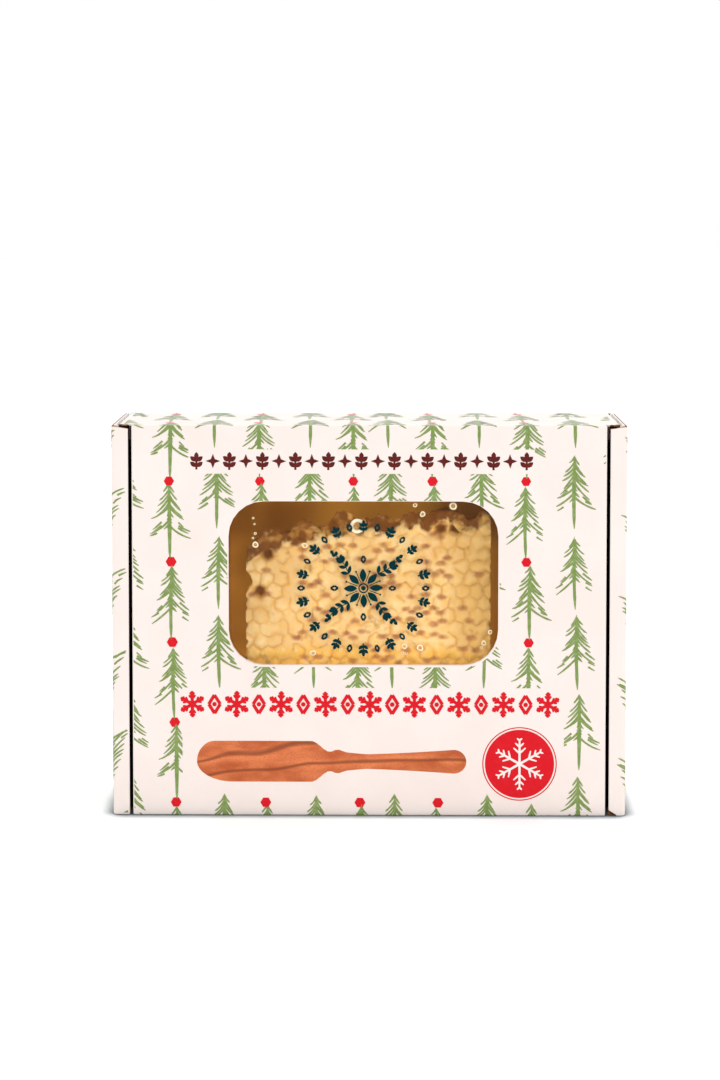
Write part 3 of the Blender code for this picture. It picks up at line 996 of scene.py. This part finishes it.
# The lid ends at its slots, the top panel at the grooves, and the back runs from fold to fold
for sign in (-1, 1):
    for inner, start, end in (
        (lidHalf - 0.5 * mm, -1 * mm, topZ + cartonEnds["grooveStart"]),
        (cartonEnds["rawBand"][0] - 0.3 * mm, topZ, topZ + backY - frontY - 1 * mm),
    ):
        lidZones.append(rectangle(*sorted((sign * inner, sign * sideX)), start, end))
lidColumns = [x * mm for x in (-88.0, -71.7, -55.0, -39.4, -21.2, -5.7, 6.9, 22.3, 39.5, 55.6, 72.9, 90.5)]
# The profile's distance is nearly the height on the lid
lidLow, lidHigh = (-wrapHalf, 0.3 * mm), (wrapHalf, wrapEnd - 0.3 * mm)
printed += printForest(
    "lid", lidColumns, 13, -12 * mm, lidLow, lidHigh, lidZones, wrap, wrapRound, 3, field=titleField,
)
print("lid print")

# On the rims and the sides the firs hang upside down
side = sideProfile()
sideEnd = stations(side)[-1]
sideLow, sideHigh = (0.1 * mm, 0.8 * mm), (sideEnd - 0.2 * mm, topZ - 1.6 * mm)
for name, sign, firstX, foot, seed in (
    ("right", 1, 8.6 * mm, -4.6 * mm, 5),
    ("left", -1, 6.2 * mm, -14.5 * mm, 7),
):
    columns = [firstX + i * fir["columnPitch"] for i in range(4)]
    layers = printForest(name, columns, 6, foot, sideLow, sideHigh, [], side, wrapRight, seed, turned=True)
    if sign < 0:
        for layer in layers:
            bm = bmesh.new()
            bm.from_mesh(layer.data)
            for vert in bm.verts:
                vert.co.x = -vert.co.x
            bmesh.ops.reverse_faces(bm, faces=bm.faces)
            bm.to_mesh(layer.data)
            bm.free()
    printed += layers
print("side print")


# Bands in the place of headings: leaf pairs with stars, and crystals with lozenges

def drawCrystal(size, half, arms=6, twigs=2):
    bm = bmesh.new()
    armWidths = [half * share for share in (1.0, 1.0, 0.9, 0.9, 0.7)]
    for k in range(arms):
        out = Vector((math.sin(2 * math.pi * k / arms), math.cos(2 * math.pi * k / arms)))
        addStroke(bm, [out * (size * i / 4) for i in range(5)], armWidths)
        for twig in range(twigs):
            foot = out * size * (0.45 + 0.27 * twig)
            for sign in (-1, 1):
                angle = math.atan2(out.y, out.x) + sign * math.radians(48)
                tip = foot + Vector((math.cos(angle), math.sin(angle))) * size * (0.34 - 0.1 * twig)
                addStroke(bm, [foot, foot.lerp(tip, 0.5), tip], [half * 0.8, half * 0.8, half * 0.5])
    return bm


def drawLozenge(width, height, half, dot):
    bm = bmesh.new()
    corners = [Vector(p) for p in ((width, 0), (0, height), (-width, 0), (0, -height))]
    for start, end in zip(corners, corners[1:] + corners[:1]):
        addStroke(bm, [start, start.lerp(end, 0.5), end], [half] * 3)
    if dot:
        addDisc(bm, (0, 0), dot, 14)
    return bm


def addLeaf(bm, foot, angle, length, half):
    # An almond whose foot is at a point, pointing the given way from the upright
    along = Vector((math.sin(angle), math.cos(angle)))
    shares = (0.0, 0.12, 0.3, 0.5, 0.7, 0.88, 1.0)
    addStroke(bm, [foot + along * (length * share) for share in shares], [
        half * max(0.06, math.sin(math.pi * share) ** 0.8) for share in shares
    ])


def drawLeafPair(height, half):
    # Two pairs of leaves and a bud on a short stem
    bm = bmesh.new()
    addStroke(bm, [Vector((0, -0.5 * height)), Vector((0, 0)), Vector((0, 0.25 * height))], [0.45 * half] * 3)
    for level in (-0.34, -0.02):
        for sign in (-1, 1):
            addLeaf(bm, Vector((0, height * level)), sign * math.radians(52), 0.46 * height, half)
    addLeaf(bm, Vector((0, 0.1 * height)), 0.0, 0.42 * height, half)
    return bm


def drawStar(points, outer, inner):
    bm = bmesh.new()
    ring = []
    for k in range(2 * points):
        angle, radius = math.pi * k / points, outer if k % 2 == 0 else inner
        ring.append(bm.verts.new((radius * math.sin(angle), radius * math.cos(angle), 0.0)))
    bm.faces.new(ring)
    return bm


def drawBlossom(radius, petals):
    # A flower seen from the front: full petals split by a thin gap, a ring and a middle
    bm = bmesh.new()
    for k in range(petals):
        angle = 2 * math.pi * k / petals
        along = Vector((math.sin(angle), math.cos(angle)))
        addLeaf(bm, along * (0.32 * radius), angle, 0.68 * radius, 0.17 * radius)
    for k in range(petals):
        angle = 2 * math.pi * (k + 0.5) / petals
        along = Vector((math.sin(angle), math.cos(angle)))
        stamen = [along * (share * radius) for share in (0.34, 0.62, 0.86)]
        addStroke(bm, stamen, [0.02 * radius] * 3)
        addDisc(bm, along * (0.92 * radius), 0.055 * radius, 8)
    addDisc(bm, (0, 0), 0.26 * radius, 24, 0.19 * radius)
    addDisc(bm, (0, 0), 0.12 * radius, 16)
    return bm


def drawSpray(length, leaves, half):
    # A curved stem with leaves that shrink towards its tip
    bm = bmesh.new()
    stem = [Vector((0.16 * length * math.sin(2.4 * i / 8), length * i / 8)) for i in range(9)]
    addStroke(bm, stem, [0.24 * half] * 9)
    for k in range(leaves):
        share = (k + 0.6) / leaves
        foot = stem[min(8, int(8 * share))]
        leafLength = 0.36 * length * (1 - 0.5 * share)
        for sign in (-1, 1):
            addLeaf(bm, foot, sign * math.radians(48 - 12 * share) + 0.15, leafLength, half)
    addLeaf(bm, stem[-1], 0.1, 0.2 * length, half)
    return bm


def placeFlat(obj, lift):
    # From the flat sheet to the lid's face
    for vert in obj.data.vertices:
        vert.co = Vector((vert.co.x, frontY - lift - vert.co.z, vert.co.y))
    return obj


def printBand(name, band, drawings, ink, seed):
    low, high = fromPhoto(band["left"], band["middle"]), fromPhoto(band["right"], band["middle"])
    spots = []
    for i in range(band["count"]):
        x = low.x + (high.x - low.x) * i / (band["count"] - 1)
        spots.append((x, (low.y + high.y) / 2, 0.0, 1.0, i % len(drawings)))
    return placeFlat(stampMotifs(name, spots, drawings, ink, 0.03, 0.03, seed), inkLift)


maroon = inkMaterial("maroonInk", (0.105, 0.010, 0.008), (0.20, 0.03, 0.02), wear=0.35)
heading = {"left": 198, "right": 525, "middle": 460, "count": 21}
title = {"left": 193, "right": 547, "middle": 703.5, "count": 17}
leavesAndStars = [drawLeafPair(6.2 * mm, 0.85 * mm), drawStar(4, 2.6 * mm, 1.0 * mm)]
printed.append(printBand("headingBand", heading, leavesAndStars, maroon, 2))
lozenge = drawLozenge(2.1 * mm, 3.4 * mm, 0.62 * mm, 0.85 * mm)
printed.append(printBand("titleBand", title, [drawCrystal(4.7 * mm, 0.62 * mm), lozenge], red, 4))


# The round red seal with its thin outer ring and a white crystal

def makeSeal():
    bm = bmesh.new()
    addDisc(bm, discMiddle, discRadius, 64)
    addDisc(bm, discMiddle, discRadius + 0.95 * mm, 64, discRadius + 0.55 * mm)
    seal = placeFlat(showMesh("sealDisc", bm, red), inkLift)
    white = inkMaterial("whiteInk", (0.90, 0.82, 0.78), (0.85, 0.55, 0.52), wear=0.2)
    spots = [(discMiddle.x, discMiddle.y, 0.0, 1.0, 0)]
    crystal = stampMotifs("sealCrystal", spots, [drawCrystal(8.6 * mm, 0.42 * mm, 6, 3)], white)
    return [seal, placeFlat(crystal, 2 * inkLift)]


printed += makeSeal()

# The printed picture of a wooden spreader
spreader = {
    "left": 197.5,
    "right": 466,
    "middle": 761,
    "upperNose": 6.5 * mm,
    "lowerNose": 13 * mm,
    "blade": 41 * mm,
    "bladeHalf": 7.4 * mm,
    "shoulder": 7 * mm,
    "collar": 5 * mm,
    "collarHalf": 3.4 * mm,
    "collarSwell": 0.9 * mm,
    "neckHalf": 2.5 * mm,
    "handleHalf": 4.3 * mm,
    "tail": 4.5 * mm,
}


def spreaderEdge(x, length, upper):
    # Half width along the spreader: blade, a small collar, then a handle that widens to a round end
    blade, bladeHalf, collarHalf = spreader["blade"], spreader["bladeHalf"], spreader["collarHalf"]
    neckHalf, handleHalf, tail = spreader["neckHalf"], spreader["handleHalf"], spreader["tail"]
    nose = spreader["upperNose"] if upper else spreader["lowerNose"]
    collarStart = blade + spreader["shoulder"]
    collarEnd = collarStart + spreader["collar"]
    if x < nose:
        return bladeHalf * math.sqrt(max(0.0, 1 - (1 - x / nose) ** 2))
    if x < blade:
        return bladeHalf
    if x < collarStart:
        share = (x - blade) / spreader["shoulder"]
        return bladeHalf + (collarHalf - bladeHalf) * (0.5 - 0.5 * math.cos(math.pi * share))
    if x < collarEnd:
        share = (x - collarStart) / spreader["collar"]
        return collarHalf + spreader["collarSwell"] * math.sin(math.pi * share)
    along = (x - collarEnd) / (length - tail - collarEnd)
    if along < 1:
        narrow = neckHalf + (collarHalf - neckHalf) * (1 - min(1.0, along * 5))
        return narrow + (handleHalf - neckHalf) * along ** 1.6
    return handleHalf * math.sqrt(max(0.0, 1 - ((x - length + tail) / tail) ** 2))


def makeSpreader():
    start = fromPhoto(spreader["left"], spreader["middle"])
    length = fromPhoto(spreader["right"], spreader["middle"]).x - start.x
    steps = 110
    bm = bmesh.new()
    columns = []
    for i in range(steps + 1):
        x = length * (0.5 - 0.5 * math.cos(math.pi * i / steps))
        x = min(max(x, 0.01 * mm), length - 0.01 * mm)
        upper, lower = spreaderEdge(x, length, True), -spreaderEdge(x, length, False)
        columns.append([bm.verts.new((start.x + x, start.y + edge, 0)) for edge in (upper, lower)])
    for (upA, lowA), (upB, lowB) in zip(columns, columns[1:]):
        bm.faces.new((upA, lowA, lowB, upB))
    return placeFlat(showMesh("spreaderPicture", bm, woodPrintMaterial()), inkLift)


printed.append(makeSpreader())
print("print")


# Tub and cover keep their solids, in clear plastic

clearPlastic = clearPlasticMaterial()
for name in ("tub", "tub_lid"):
    frame["nodes"][name].data.materials.clear()
    frame["nodes"][name].data.materials.append(clearPlastic)

honeyLow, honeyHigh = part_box("honey")
combLow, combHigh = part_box("comb")
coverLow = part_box("tub_lid")[0]


def makeHoney():
    # Fills the tub from just inside its cover to just inside its floor, so that no air shows
    reach = 0.4 * mm
    width, height = honeyHigh.x - honeyLow.x + 2 * reach, honeyHigh.z - honeyLow.z + 2 * reach
    front, floor = honeyLow.y - reach, honeyHigh.y + reach
    draft, rounding, corner = 0.8 * mm, 3.5 * mm, 11 * mm
    centre = (honeyLow.x + honeyHigh.x) / 2, (honeyLow.z + honeyHigh.z) / 2
    levels = [(front, 0.0)]
    for step in range(9):
        angle = math.pi / 2 * step / 8
        depth = floor - rounding + rounding * math.sin(angle)
        levels.append((depth, draft + rounding * (1 - math.cos(angle))))
    rings = []
    for depth, inset in levels:
        outline = roundedOutline(centre, width - 2 * inset, height - 2 * inset, corner - inset)
        rings.append([(point.x, depth, point.y) for point in outline])
    return showMesh("honeyFill", loftRings(rings), honeyMaterial())


honeyFill = makeHoney()

comb = {
    "pitch": 5.2 * mm,
    "jitter": 0.5 * mm,
    "rise": (0.8 * mm, 1.6 * mm),
    "roundOff": 2.4 * mm,
    "gapDepth": 0.6 * mm,
    "openDepth": 3.2 * mm,
    "tornReach": 4.5 * mm,
    "curl": 2.6 * mm,
    "warp": 1.5 * mm,
    "unevenness": 0.5 * mm,
    "middle": 27 * mm,           # inside this the cappings part and run together more often than outside it
    "gapShare": (0.40, 0.12),
    "hiddenShare": (0.42, 0.22),
    "skyline": (260, 900),       # coarse and fine waves of the torn edge, per metre
    "wander": 1.6 * mm,          # of the side edges, and its waves per metre
    "wanderWaves": 330,
    "frayWaves": 240,
    "mesh": (290, 180),
    "seed": 23,
}
# The torn upper edge: x and height above the carton's foot, in millimetres
tornEdge = [
    (-44.3, 93.0), (-40.0, 96.7), (-34.2, 99.6), (-24.5, 101.0), (-16.6, 102.2), (-10.1, 104.7), (2.0, 104.0),
    (9.7, 104.6), (18.0, 106.7), (21.2, 104.2), (24.5, 108.5), (28.2, 109.6), (32.4, 105.0), (38.5, 105.2),
    (40.7, 107.2), (43.7, 108.0),
]
openCells = [(-40.4, 79.5), (-36.8, 95.5), (25.2, 104.0), (33.3, 102.0)]
notch = {"height": 84 * mm, "reach": 2.7 * mm, "depth": 2.4 * mm}  # in the left edge


def tornHeight(x):
    for (startX, startZ), (endX, endZ) in zip(tornEdge, tornEdge[1:]):
        if x <= endX * mm:
            share = max(0.0, (x / mm - startX) / (endX - startX))
            return (startZ + (endZ - startZ) * share) * mm
    return tornEdge[-1][1] * mm


def skyline(x, waves, rows):
    # Coarse and fine noise along a torn edge
    return [noise.noise(Vector((x * wave, row, 0.0))) for wave, row in zip(waves, rows)]


def combCells():
    # Six-sided cells that share their jittered corners; cappings run together where a wall is hidden
    rng = random.Random(comb["seed"])
    across, up = comb["pitch"] / 2, comb["pitch"] * math.sqrt(3) / 6
    rows = math.ceil((combHigh.z - combLow.z) / (3 * up)) + 2
    columns = math.ceil((combHigh.x - combLow.x) / comb["pitch"]) + 3
    bm = bmesh.new()
    openCell, hidden = bm.faces.layers.float.new("open"), bm.edges.layers.float.new("hidden")
    gap = bm.verts.layers.float.new("gap")
    corners = {}
    for row in range(-1, rows):
        for column in range(-1, columns):
            a, b = 2 * column + row % 2, 3 * row
            centre = Vector((combLow.x + a * across, combLow.z + b * up))
            keys = [(a + i, b + j) for i, j in ((1, 1), (0, 2), (-1, 1), (-1, -1), (0, -2), (1, -1))]
            for key in keys:
                if key not in corners:
                    x = combLow.x + key[0] * across + rng.uniform(-1, 1) * comb["jitter"]
                    z = combLow.z + key[1] * up + rng.uniform(-1, 1) * comb["jitter"]
                    corners[key] = bm.verts.new((x, 0.0, z))
                    often, seldom = comb["gapShare"]
                    corners[key][gap] = float(rng.random() < (often if abs(x) < comb["middle"] else seldom))
            face = bm.faces.new([corners[key] for key in keys])
            apart = [(centre - Vector(cell) * mm).length for cell in openCells]
            face[openCell] = float(min(apart) < 0.5 * comb["pitch"])
    often, seldom = comb["hiddenShare"]
    for edge in bm.edges:
        share = often if abs(edge.verts[0].co.x) < comb["middle"] else seldom
        edge[hidden] = float(rng.random() < share and all(face[openCell] == 0 for face in edge.link_faces))
    return showMesh("combCells", bm)


def combSheet():
    # A fine sheet over the comb's front: torn along the top, where it curls back, and ragged at its sides
    columns, rows = comb["mesh"]
    front = combLow.y + comb["rise"][1] + 0.1 * mm
    bm = bmesh.new()
    torn = bm.verts.layers.float.new("torn")
    grid = []
    for i in range(columns + 1):
        share = i / columns
        x = combLow.x + (combHigh.x - combLow.x) * share
        coarse, fine = skyline(x, comb["skyline"], (5.0, 9.0))
        top = tornHeight(x) + (coarse + fine * 0.3) * mm
        left, right = max(0.0, 1 - 9 * share) ** 2, max(0.0, 9 * share - 8) ** 2
        line = []
        for k in range(rows + 1):
            z = combLow.z + (top - combLow.z) * k / rows
            wander = abs(noise.noise(Vector((z * comb["wanderWaves"], 2.0 + share, 0.0)))) * comb["wander"]
            bite = notch["depth"] * math.exp(-((z - notch["height"]) / notch["reach"]) ** 2)
            frayed = noise.noise(Vector((x * comb["frayWaves"], z * comb["frayWaves"], 7.0)))
            tear = min(1.0, max(0.0, 1 - (top - z) / comb["tornReach"] + 0.35 * frayed))
            depth = front + comb["curl"] * tear ** 2 * (1 + 0.5 * frayed)
            vert = bm.verts.new((x + (wander + bite) * left - wander * right, depth, z))
            vert[torn] = tear
            line.append(vert)
        grid.append(line)
    for lineA, lineB in zip(grid, grid[1:]):
        for k in range(rows):
            bm.faces.new((lineA[k], lineB[k], lineB[k + 1], lineA[k + 1]))
    return showMesh("combSheet", bm)


def makeCapTree():
    tree, given, result = newGroup(
        "combCaps", "GeometryNodeTree",
        [
            ("Sheet", "Geometry", None), ("Cells", "Object", None), ("Finish", "Material", None),
            ("Lowest", "Float", 0.0), ("Highest", "Float", 0.0), ("Round off", "Float", 2 * mm),
            ("Gap depth", "Float", 0.0), ("Open depth", "Float", 0.0),
            ("Warp", "Float", 0.0), ("Unevenness", "Float", 0.0),
        ],
        [("Comb", "Geometry", None)],
    )
    cells = addNode(tree, "GeometryNodeObjectInfo", {"Object": given["Cells"]}).outputs["Geometry"]
    place = addNode(tree, "GeometryNodeInputPosition").outputs[0]

    def attribute(name):
        return addNode(tree, "GeometryNodeInputNamedAttribute", {"Name": name}, data_type="FLOAT").outputs[0]

    def vector(operation, first, second):
        key = "Scale" if operation == "SCALE" else 1
        return addNode(tree, "ShaderNodeVectorMath", {0: first, key: second}, operation=operation).outputs[0]

    def cloud(scale, detail):
        return addNode(tree, "ShaderNodeTexNoise", {"Scale": scale, "Detail": detail}).outputs

    def distanceTo(parts, kind, where):
        inputs = {"Geometry": parts, "Sample Position": where}
        return addNode(tree, "GeometryNodeProximity", inputs, target_element=kind).outputs["Distance"]

    def keep(condition, domain):
        inputs = {"Geometry": cells, "Selection": condition}
        return addNode(tree, "GeometryNodeSeparateGeometry", inputs, domain=domain).outputs[0]

    drift = vector("SCALE", vector("SUBTRACT", cloud(230.0, 2.0)["Color"], (0.5, 0.5, 0.5)), given["Warp"])
    flat = vector("MULTIPLY", vector("ADD", place, drift), (1.0, 0.0, 1.0))
    walls = keep(addMath(tree, "LESS_THAN", attribute("hidden"), 0.5), "EDGE")
    share = mapRange(tree, distanceTo(walls, "EDGES", flat), 0.0, given["Round off"])
    dome = addMath(tree, "SUBTRACT", 1.0, addMath(tree, "POWER", addMath(tree, "SUBTRACT", 1.0, share), 2.2))
    isOpen = addNode(tree, "GeometryNodeSampleNearestSurface", {
        "Mesh": cells, "Value": attribute("open"), "Sample Position": flat,
    }, data_type="FLOAT").outputs["Value"]
    # Where cappings part, a gap shows that is wider than it is high
    squash = (0.52, 1.0, 1.0)
    gaps = addNode(tree, "GeometryNodeTransform", {
        "Geometry": keep(addMath(tree, "GREATER_THAN", attribute("gap"), 0.5), "POINT"), "Scale": squash,
    }).outputs[0]
    spot = mapRange(tree, distanceTo(gaps, "POINTS", vector("MULTIPLY", flat, squash)), 1.25 * mm, 0.50 * mm)
    rise = mapRange(tree, cloud(170.0, 1.0)["Fac"], 0.35, 0.65, given["Lowest"], given["Highest"])
    drop = addMath(tree, "MULTIPLY", isOpen, addMath(tree, "ADD", rise, given["Open depth"]))
    level = addMath(tree, "MULTIPLY", dome, addMath(tree, "SUBTRACT", rise, drop))
    level = addMath(tree, "SUBTRACT", level, addMath(tree, "MULTIPLY", spot, given["Gap depth"]))
    rough = addMath(tree, "SUBTRACT", cloud(520.0, 3.0)["Fac"], 0.5)
    level = addMath(tree, "ADD", level, addMath(tree, "MULTIPLY", rough, given["Unevenness"]))
    outward = addNode(tree, "ShaderNodeCombineXYZ", {1: addMath(tree, "MULTIPLY", level, -1.0)})
    # The cap attribute is 1 on a capping, 0 at a wall and -1 in an open cell
    shut = addMath(tree, "SUBTRACT", 1.0, addMath(tree, "MULTIPLY", isOpen, 2.0))
    cap = addMath(tree, "MULTIPLY", dome, shut)
    marked = given["Sheet"]
    for name, value in (("cap", cap), ("spot", spot)):
        marked = addNode(tree, "GeometryNodeStoreNamedAttribute", {
            "Geometry": marked, "Name": name, "Value": value,
        }, data_type="FLOAT", domain="POINT").outputs[0]
    raised = addNode(tree, "GeometryNodeSetPosition", {"Geometry": marked, "Offset": outward.outputs[0]})
    finishMesh(tree, raised.outputs[0], given["Finish"], result["Comb"])
    return tree


tornWax = {
    "columns": 150,
    "rows": 10,
    "front": 1.8 * mm,
    "thickness": 3.0 * mm,
    "rise": (0.8 * mm, 5.2 * mm),
    "sink": 3 * mm,
    "skyline": (150, 700),  # coarse and fine waves, per metre
    "bumps": 1.1 * mm,
    "lean": 1.2 * mm,
}


def addTornWax(bm):
    # A ragged sheet of torn cell walls stands a little behind the front layer and above its edge
    cap, torn = bm.verts.layers.float["cap"], bm.verts.layers.float["torn"]
    low, high = tornWax["rise"]
    fronts, backs = [], []
    for i in range(tornWax["columns"] + 1):
        x = combLow.x + (combHigh.x - combLow.x) * (0.004 + 0.992 * i / tornWax["columns"])
        coarse, fine = skyline(x, tornWax["skyline"], (3.1, 8.3))
        reach = min(max(coarse * 0.9 + fine * 0.28 + 0.5, 0.0), 1.0)
        foot = tornHeight(x) - tornWax["sink"]
        top = min(tornHeight(x) + low + (high - low) * reach, combHigh.z - 0.1 * mm)
        front, back = [], []
        for k in range(tornWax["rows"] + 1):
            share = k / tornWax["rows"]
            z = foot + (top - foot) * share
            bump = noise.noise(Vector((x * 420, z * 420, 1.7))) * tornWax["bumps"]
            y = combLow.y + tornWax["front"] + bump + share * tornWax["lean"]
            for column, depth in ((front, y), (back, y + tornWax["thickness"] * (1.05 - share))):
                vert = bm.verts.new((x, depth, z))
                vert[cap], vert[torn] = 1.0, 0.72 + 0.28 * share
                column.append(vert)
        fronts.append(front)
        backs.append(back)
    rows, last = tornWax["rows"], tornWax["columns"]
    for a in range(last):
        for k in range(rows):
            bm.faces.new((fronts[a][k], fronts[a + 1][k], fronts[a + 1][k + 1], fronts[a][k + 1]))
            bm.faces.new((backs[a][k + 1], backs[a + 1][k + 1], backs[a + 1][k], backs[a][k]))
        bm.faces.new((fronts[a][rows], fronts[a + 1][rows], backs[a + 1][rows], backs[a][rows]))
        bm.faces.new((backs[a][0], backs[a + 1][0], fronts[a + 1][0], fronts[a][0]))
    for k in range(rows):
        bm.faces.new((fronts[0][k], fronts[0][k + 1], backs[0][k + 1], backs[0][k]))
        bm.faces.new((fronts[last][k], backs[last][k], backs[last][k + 1], fronts[last][k + 1]))


def makeComb():
    cells = combCells()
    values = {
        "Cells": cells,
        "Lowest": comb["rise"][0],
        "Highest": comb["rise"][1],
        "Round off": comb["roundOff"],
        "Gap depth": comb["gapDepth"],
        "Open depth": comb["openDepth"],
        "Warp": comb["warp"],
        "Unevenness": comb["unevenness"],
        "Finish": waxMaterial(),
    }
    caps = useGeometryTree(combSheet(), makeCapTree(), values, "combWax")
    bpy.data.objects.remove(cells, do_unlink=True)
    bm = bmesh.new()
    bm.from_mesh(caps.data)
    for vert in bm.verts:
        vert.co.y = max(vert.co.y, combLow.y)
    rim = [edge for edge in bm.edges if edge.is_boundary]
    walls = bmesh.ops.extrude_edge_only(bm, edges=rim)
    for item in walls["geom"]:
        if isinstance(item, bmesh.types.BMVert):
            item.co.y = combHigh.y
    backEdges = [edge for edge in bm.edges if edge.is_boundary]
    bmesh.ops.holes_fill(bm, edges=backEdges)
    addTornWax(bm)
    bmesh.ops.recalc_face_normals(bm, faces=bm.faces)
    bm.to_mesh(caps.data)
    bm.free()
    caps.data.shade_smooth()
    return caps


combWax = makeComb()
print("comb and honey")

# Air bubbles under the cover: place in the photo and radius in its pixels
bubbles = [
    (357.6, 525.8, 7.5), (255.8, 544.7, 3.1), (305.2, 545.4, 2.7), (253.6, 518, 1.3), (255, 524, 1.1),
    (255.6, 533.4, 1.4), (253.4, 538, 1.2), (414.8, 504.8, 2.2), (422.3, 513.8, 2.8), (452.6, 505.7, 3.8),
    (489.7, 632.1, 2.3), (483.4, 643.1, 2.5), (481.4, 647.5, 1.2), (404.4, 646.6, 2.7), (420, 648, 3.2),
    (402.6, 653.4, 1.6), (406.4, 654, 1.2), (313.2, 653.4, 2.8), (296, 651, 1.3), (283.5, 650.5, 1.3),
    (340.8, 650.5, 1.5),
]
bubbleDepth = 1.3 * mm  # of their middles behind the cover's face


def drawBubble(bumps, seed):
    # A flattened ball that the cover presses on, with its rim marked for the painted highlight
    rng = random.Random(seed)
    bm = bmesh.new()
    rim = bm.verts.layers.float.new("rim")
    bmesh.ops.create_uvsphere(bm, u_segments=28, v_segments=16, radius=1.0)
    waves = [(rng.uniform(0, 6.3), rng.choice((2, 3))) for _ in range(2)]
    for vert in bm.verts:
        out = math.hypot(vert.co.x, vert.co.y)
        vert[rim] = min(1.0, max(0.0, (out - 0.5) / 0.2))
        angle = math.atan2(vert.co.y, vert.co.x)
        swell = 1 + bumps * sum(math.sin(order * angle + phase) for phase, order in waves)
        vert.co = Vector((vert.co.x * swell, vert.co.y * swell, vert.co.z * 0.18))
    return bm


def makeBubbles():
    spots = []
    for i, (x, y, radius) in enumerate(bubbles):
        place = fromPhoto(x, y)
        spots.append((place.x, place.y, 1.3 * i, radius / photo["pixelsPerMetre"], i % 3))
    drawings = [drawBubble(bumps, seed) for bumps, seed in ((0.02, 1), (0.04, 2), (0.07, 3))]
    made = stampMotifs("airBubbles", spots, drawings, bubbleMaterial(), seed=6)
    for vert in made.data.vertices:
        vert.co = Vector((vert.co.x, coverLow.y + bubbleDepth + vert.co.z, vert.co.y))
    made.data.shade_smooth()
    return made


# The dark wreath and flower on the cover, with its middle in the photo's pixels

wreath = {"middle": (363.4, 587.7), "radius": 22.3 * mm, "motifs": 28, "blossom": 7.0 * mm, "sprays": 4}


def makeCoverPrint():
    teal = inkMaterial("tealInk", (0.0, 0.030, 0.036), (0.01, 0.06, 0.068), wear=0.2)
    teal.node_tree.nodes["Principled BSDF"].inputs["Specular IOR Level"].default_value = 0.02
    middle = fromPhoto(*wreath["middle"])
    spots = [(middle.x, middle.y, 0.0, 1.0, 2)]

    def ring(count, radius, first, motifs):
        for i in range(count):
            angle = first + 2 * math.pi * i / count
            x, z = middle.x + radius * math.sin(angle), middle.y + radius * math.cos(angle)
            spots.append((x, z, -angle, 1.0, motifs[i % len(motifs)]))

    ring(wreath["motifs"], wreath["radius"], 0.0, (0, 1))
    ring(wreath["sprays"], wreath["blossom"] + 0.4 * mm, math.pi / 4, (3,))
    ring(wreath["sprays"], wreath["blossom"] + 3.4 * mm, 0.0, (1,))
    drawings = [
        drawLeafPair(4.6 * mm, 0.62 * mm), drawLozenge(0.8 * mm, 1.3 * mm, 0.36 * mm, 0),
        drawBlossom(wreath["blossom"], 8), drawSpray(9.2 * mm, 5, 0.70 * mm),
    ]
    made = stampMotifs("coverWreath", spots, drawings, teal, 0.05, 0.04, 9)
    for vert in made.data.vertices:
        vert.co = Vector((vert.co.x, coverLow.y - inkLift - vert.co.z, vert.co.y))
    return made


coverPrint = makeCoverPrint()
airBubbles = makeBubbles()


# Everything rides on the one body

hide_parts("carton")
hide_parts("comb")
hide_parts("honey")
for piece in (carton, combWax, honeyFill, coverPrint, airBubbles, *printed):
    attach(piece, "root")


# Studio: a white floor with a painted contact shadow, darker where something stands close over it

floorShade = {"reach": 6 * mm, "contact": (0.12, 0.15, 0.17), "open": (0.95, 0.97, 0.98), "lift": 0.10}


def makeFloor():
    bm = bmesh.new()
    bmesh.ops.create_grid(bm, x_segments=1, y_segments=1, size=6.0)
    material, tree, shader = newMaterial("studioFloor", 0.7, 0.1)
    # Painted shadow: ambient occlusion darkens the floor's colour near whatever stands on it
    near = addNode(tree, "ShaderNodeAmbientOcclusion", {"Distance": floorShade["reach"]}, samples=16)
    clear = mapRange(tree, near.outputs["AO"], 0.50, 0.97)
    colour = mixColour(tree, clear, floorShade["contact"], floorShade["open"])
    tree.links.new(colour, shader.inputs["Base Color"])
    tree.links.new(colour, shader.inputs["Emission Color"])
    shader.inputs["Emission Strength"].default_value = floorShade["lift"]
    floor = showMesh("floor", bm, material)


def makeLamp(name, place, target, size, power):
    data = bpy.data.lights.new(name, "AREA")
    data.shape, data.size, data.energy = "SQUARE", size, power
    lamp = bpy.data.objects.new(name, data)
    lamp.location = place
    lamp.rotation_euler = (Vector(target) - Vector(place)).to_track_quat("-Z", "Y").to_euler()
    bpy.context.scene.collection.objects.link(lamp)


def makeWorld():
    world = bpy.data.worlds.new("studio")
    world.use_nodes = True
    world.node_tree.nodes["Background"].inputs[0].default_value = (1.0, 1.0, 1.0, 1.0)
    world.node_tree.nodes["Background"].inputs[1].default_value = 1.0
    bpy.context.scene.world = world
    bpy.context.scene.view_settings.view_transform = "Standard"


# The photo's upright edges stay parallel: a nearly level camera, its frame shifted down
camera = {
    "place": (5.3 * mm, frontY - 769.8 * mm, 224.8 * mm),
    "pitch": 3.0,
    "yaw": 0.633,
    "lens": 72.42,
    "shift": -0.2197,
}


def makeCamera():
    data = bpy.data.cameras.new("camera")
    data.sensor_width, data.lens, data.shift_y = 36.0, camera["lens"], camera["shift"]
    obj = bpy.data.objects.new("camera", data)
    obj.location = camera["place"]
    obj.rotation_euler = (math.radians(90 - camera["pitch"]), 0, math.radians(camera["yaw"]))
    bpy.context.scene.collection.objects.link(obj)
    bpy.context.scene.camera = obj


makeFloor()
makeWorld()
makeLamp("topSoftbox", (0.1, 0.0, 1.3), (0, 0, 0), 0.9, 4.0)
makeLamp("sideSoftbox", (0.9, -0.9, 0.5), (0, 0, 0.07), 0.6, 0.8)
makeCamera()

print("scene")
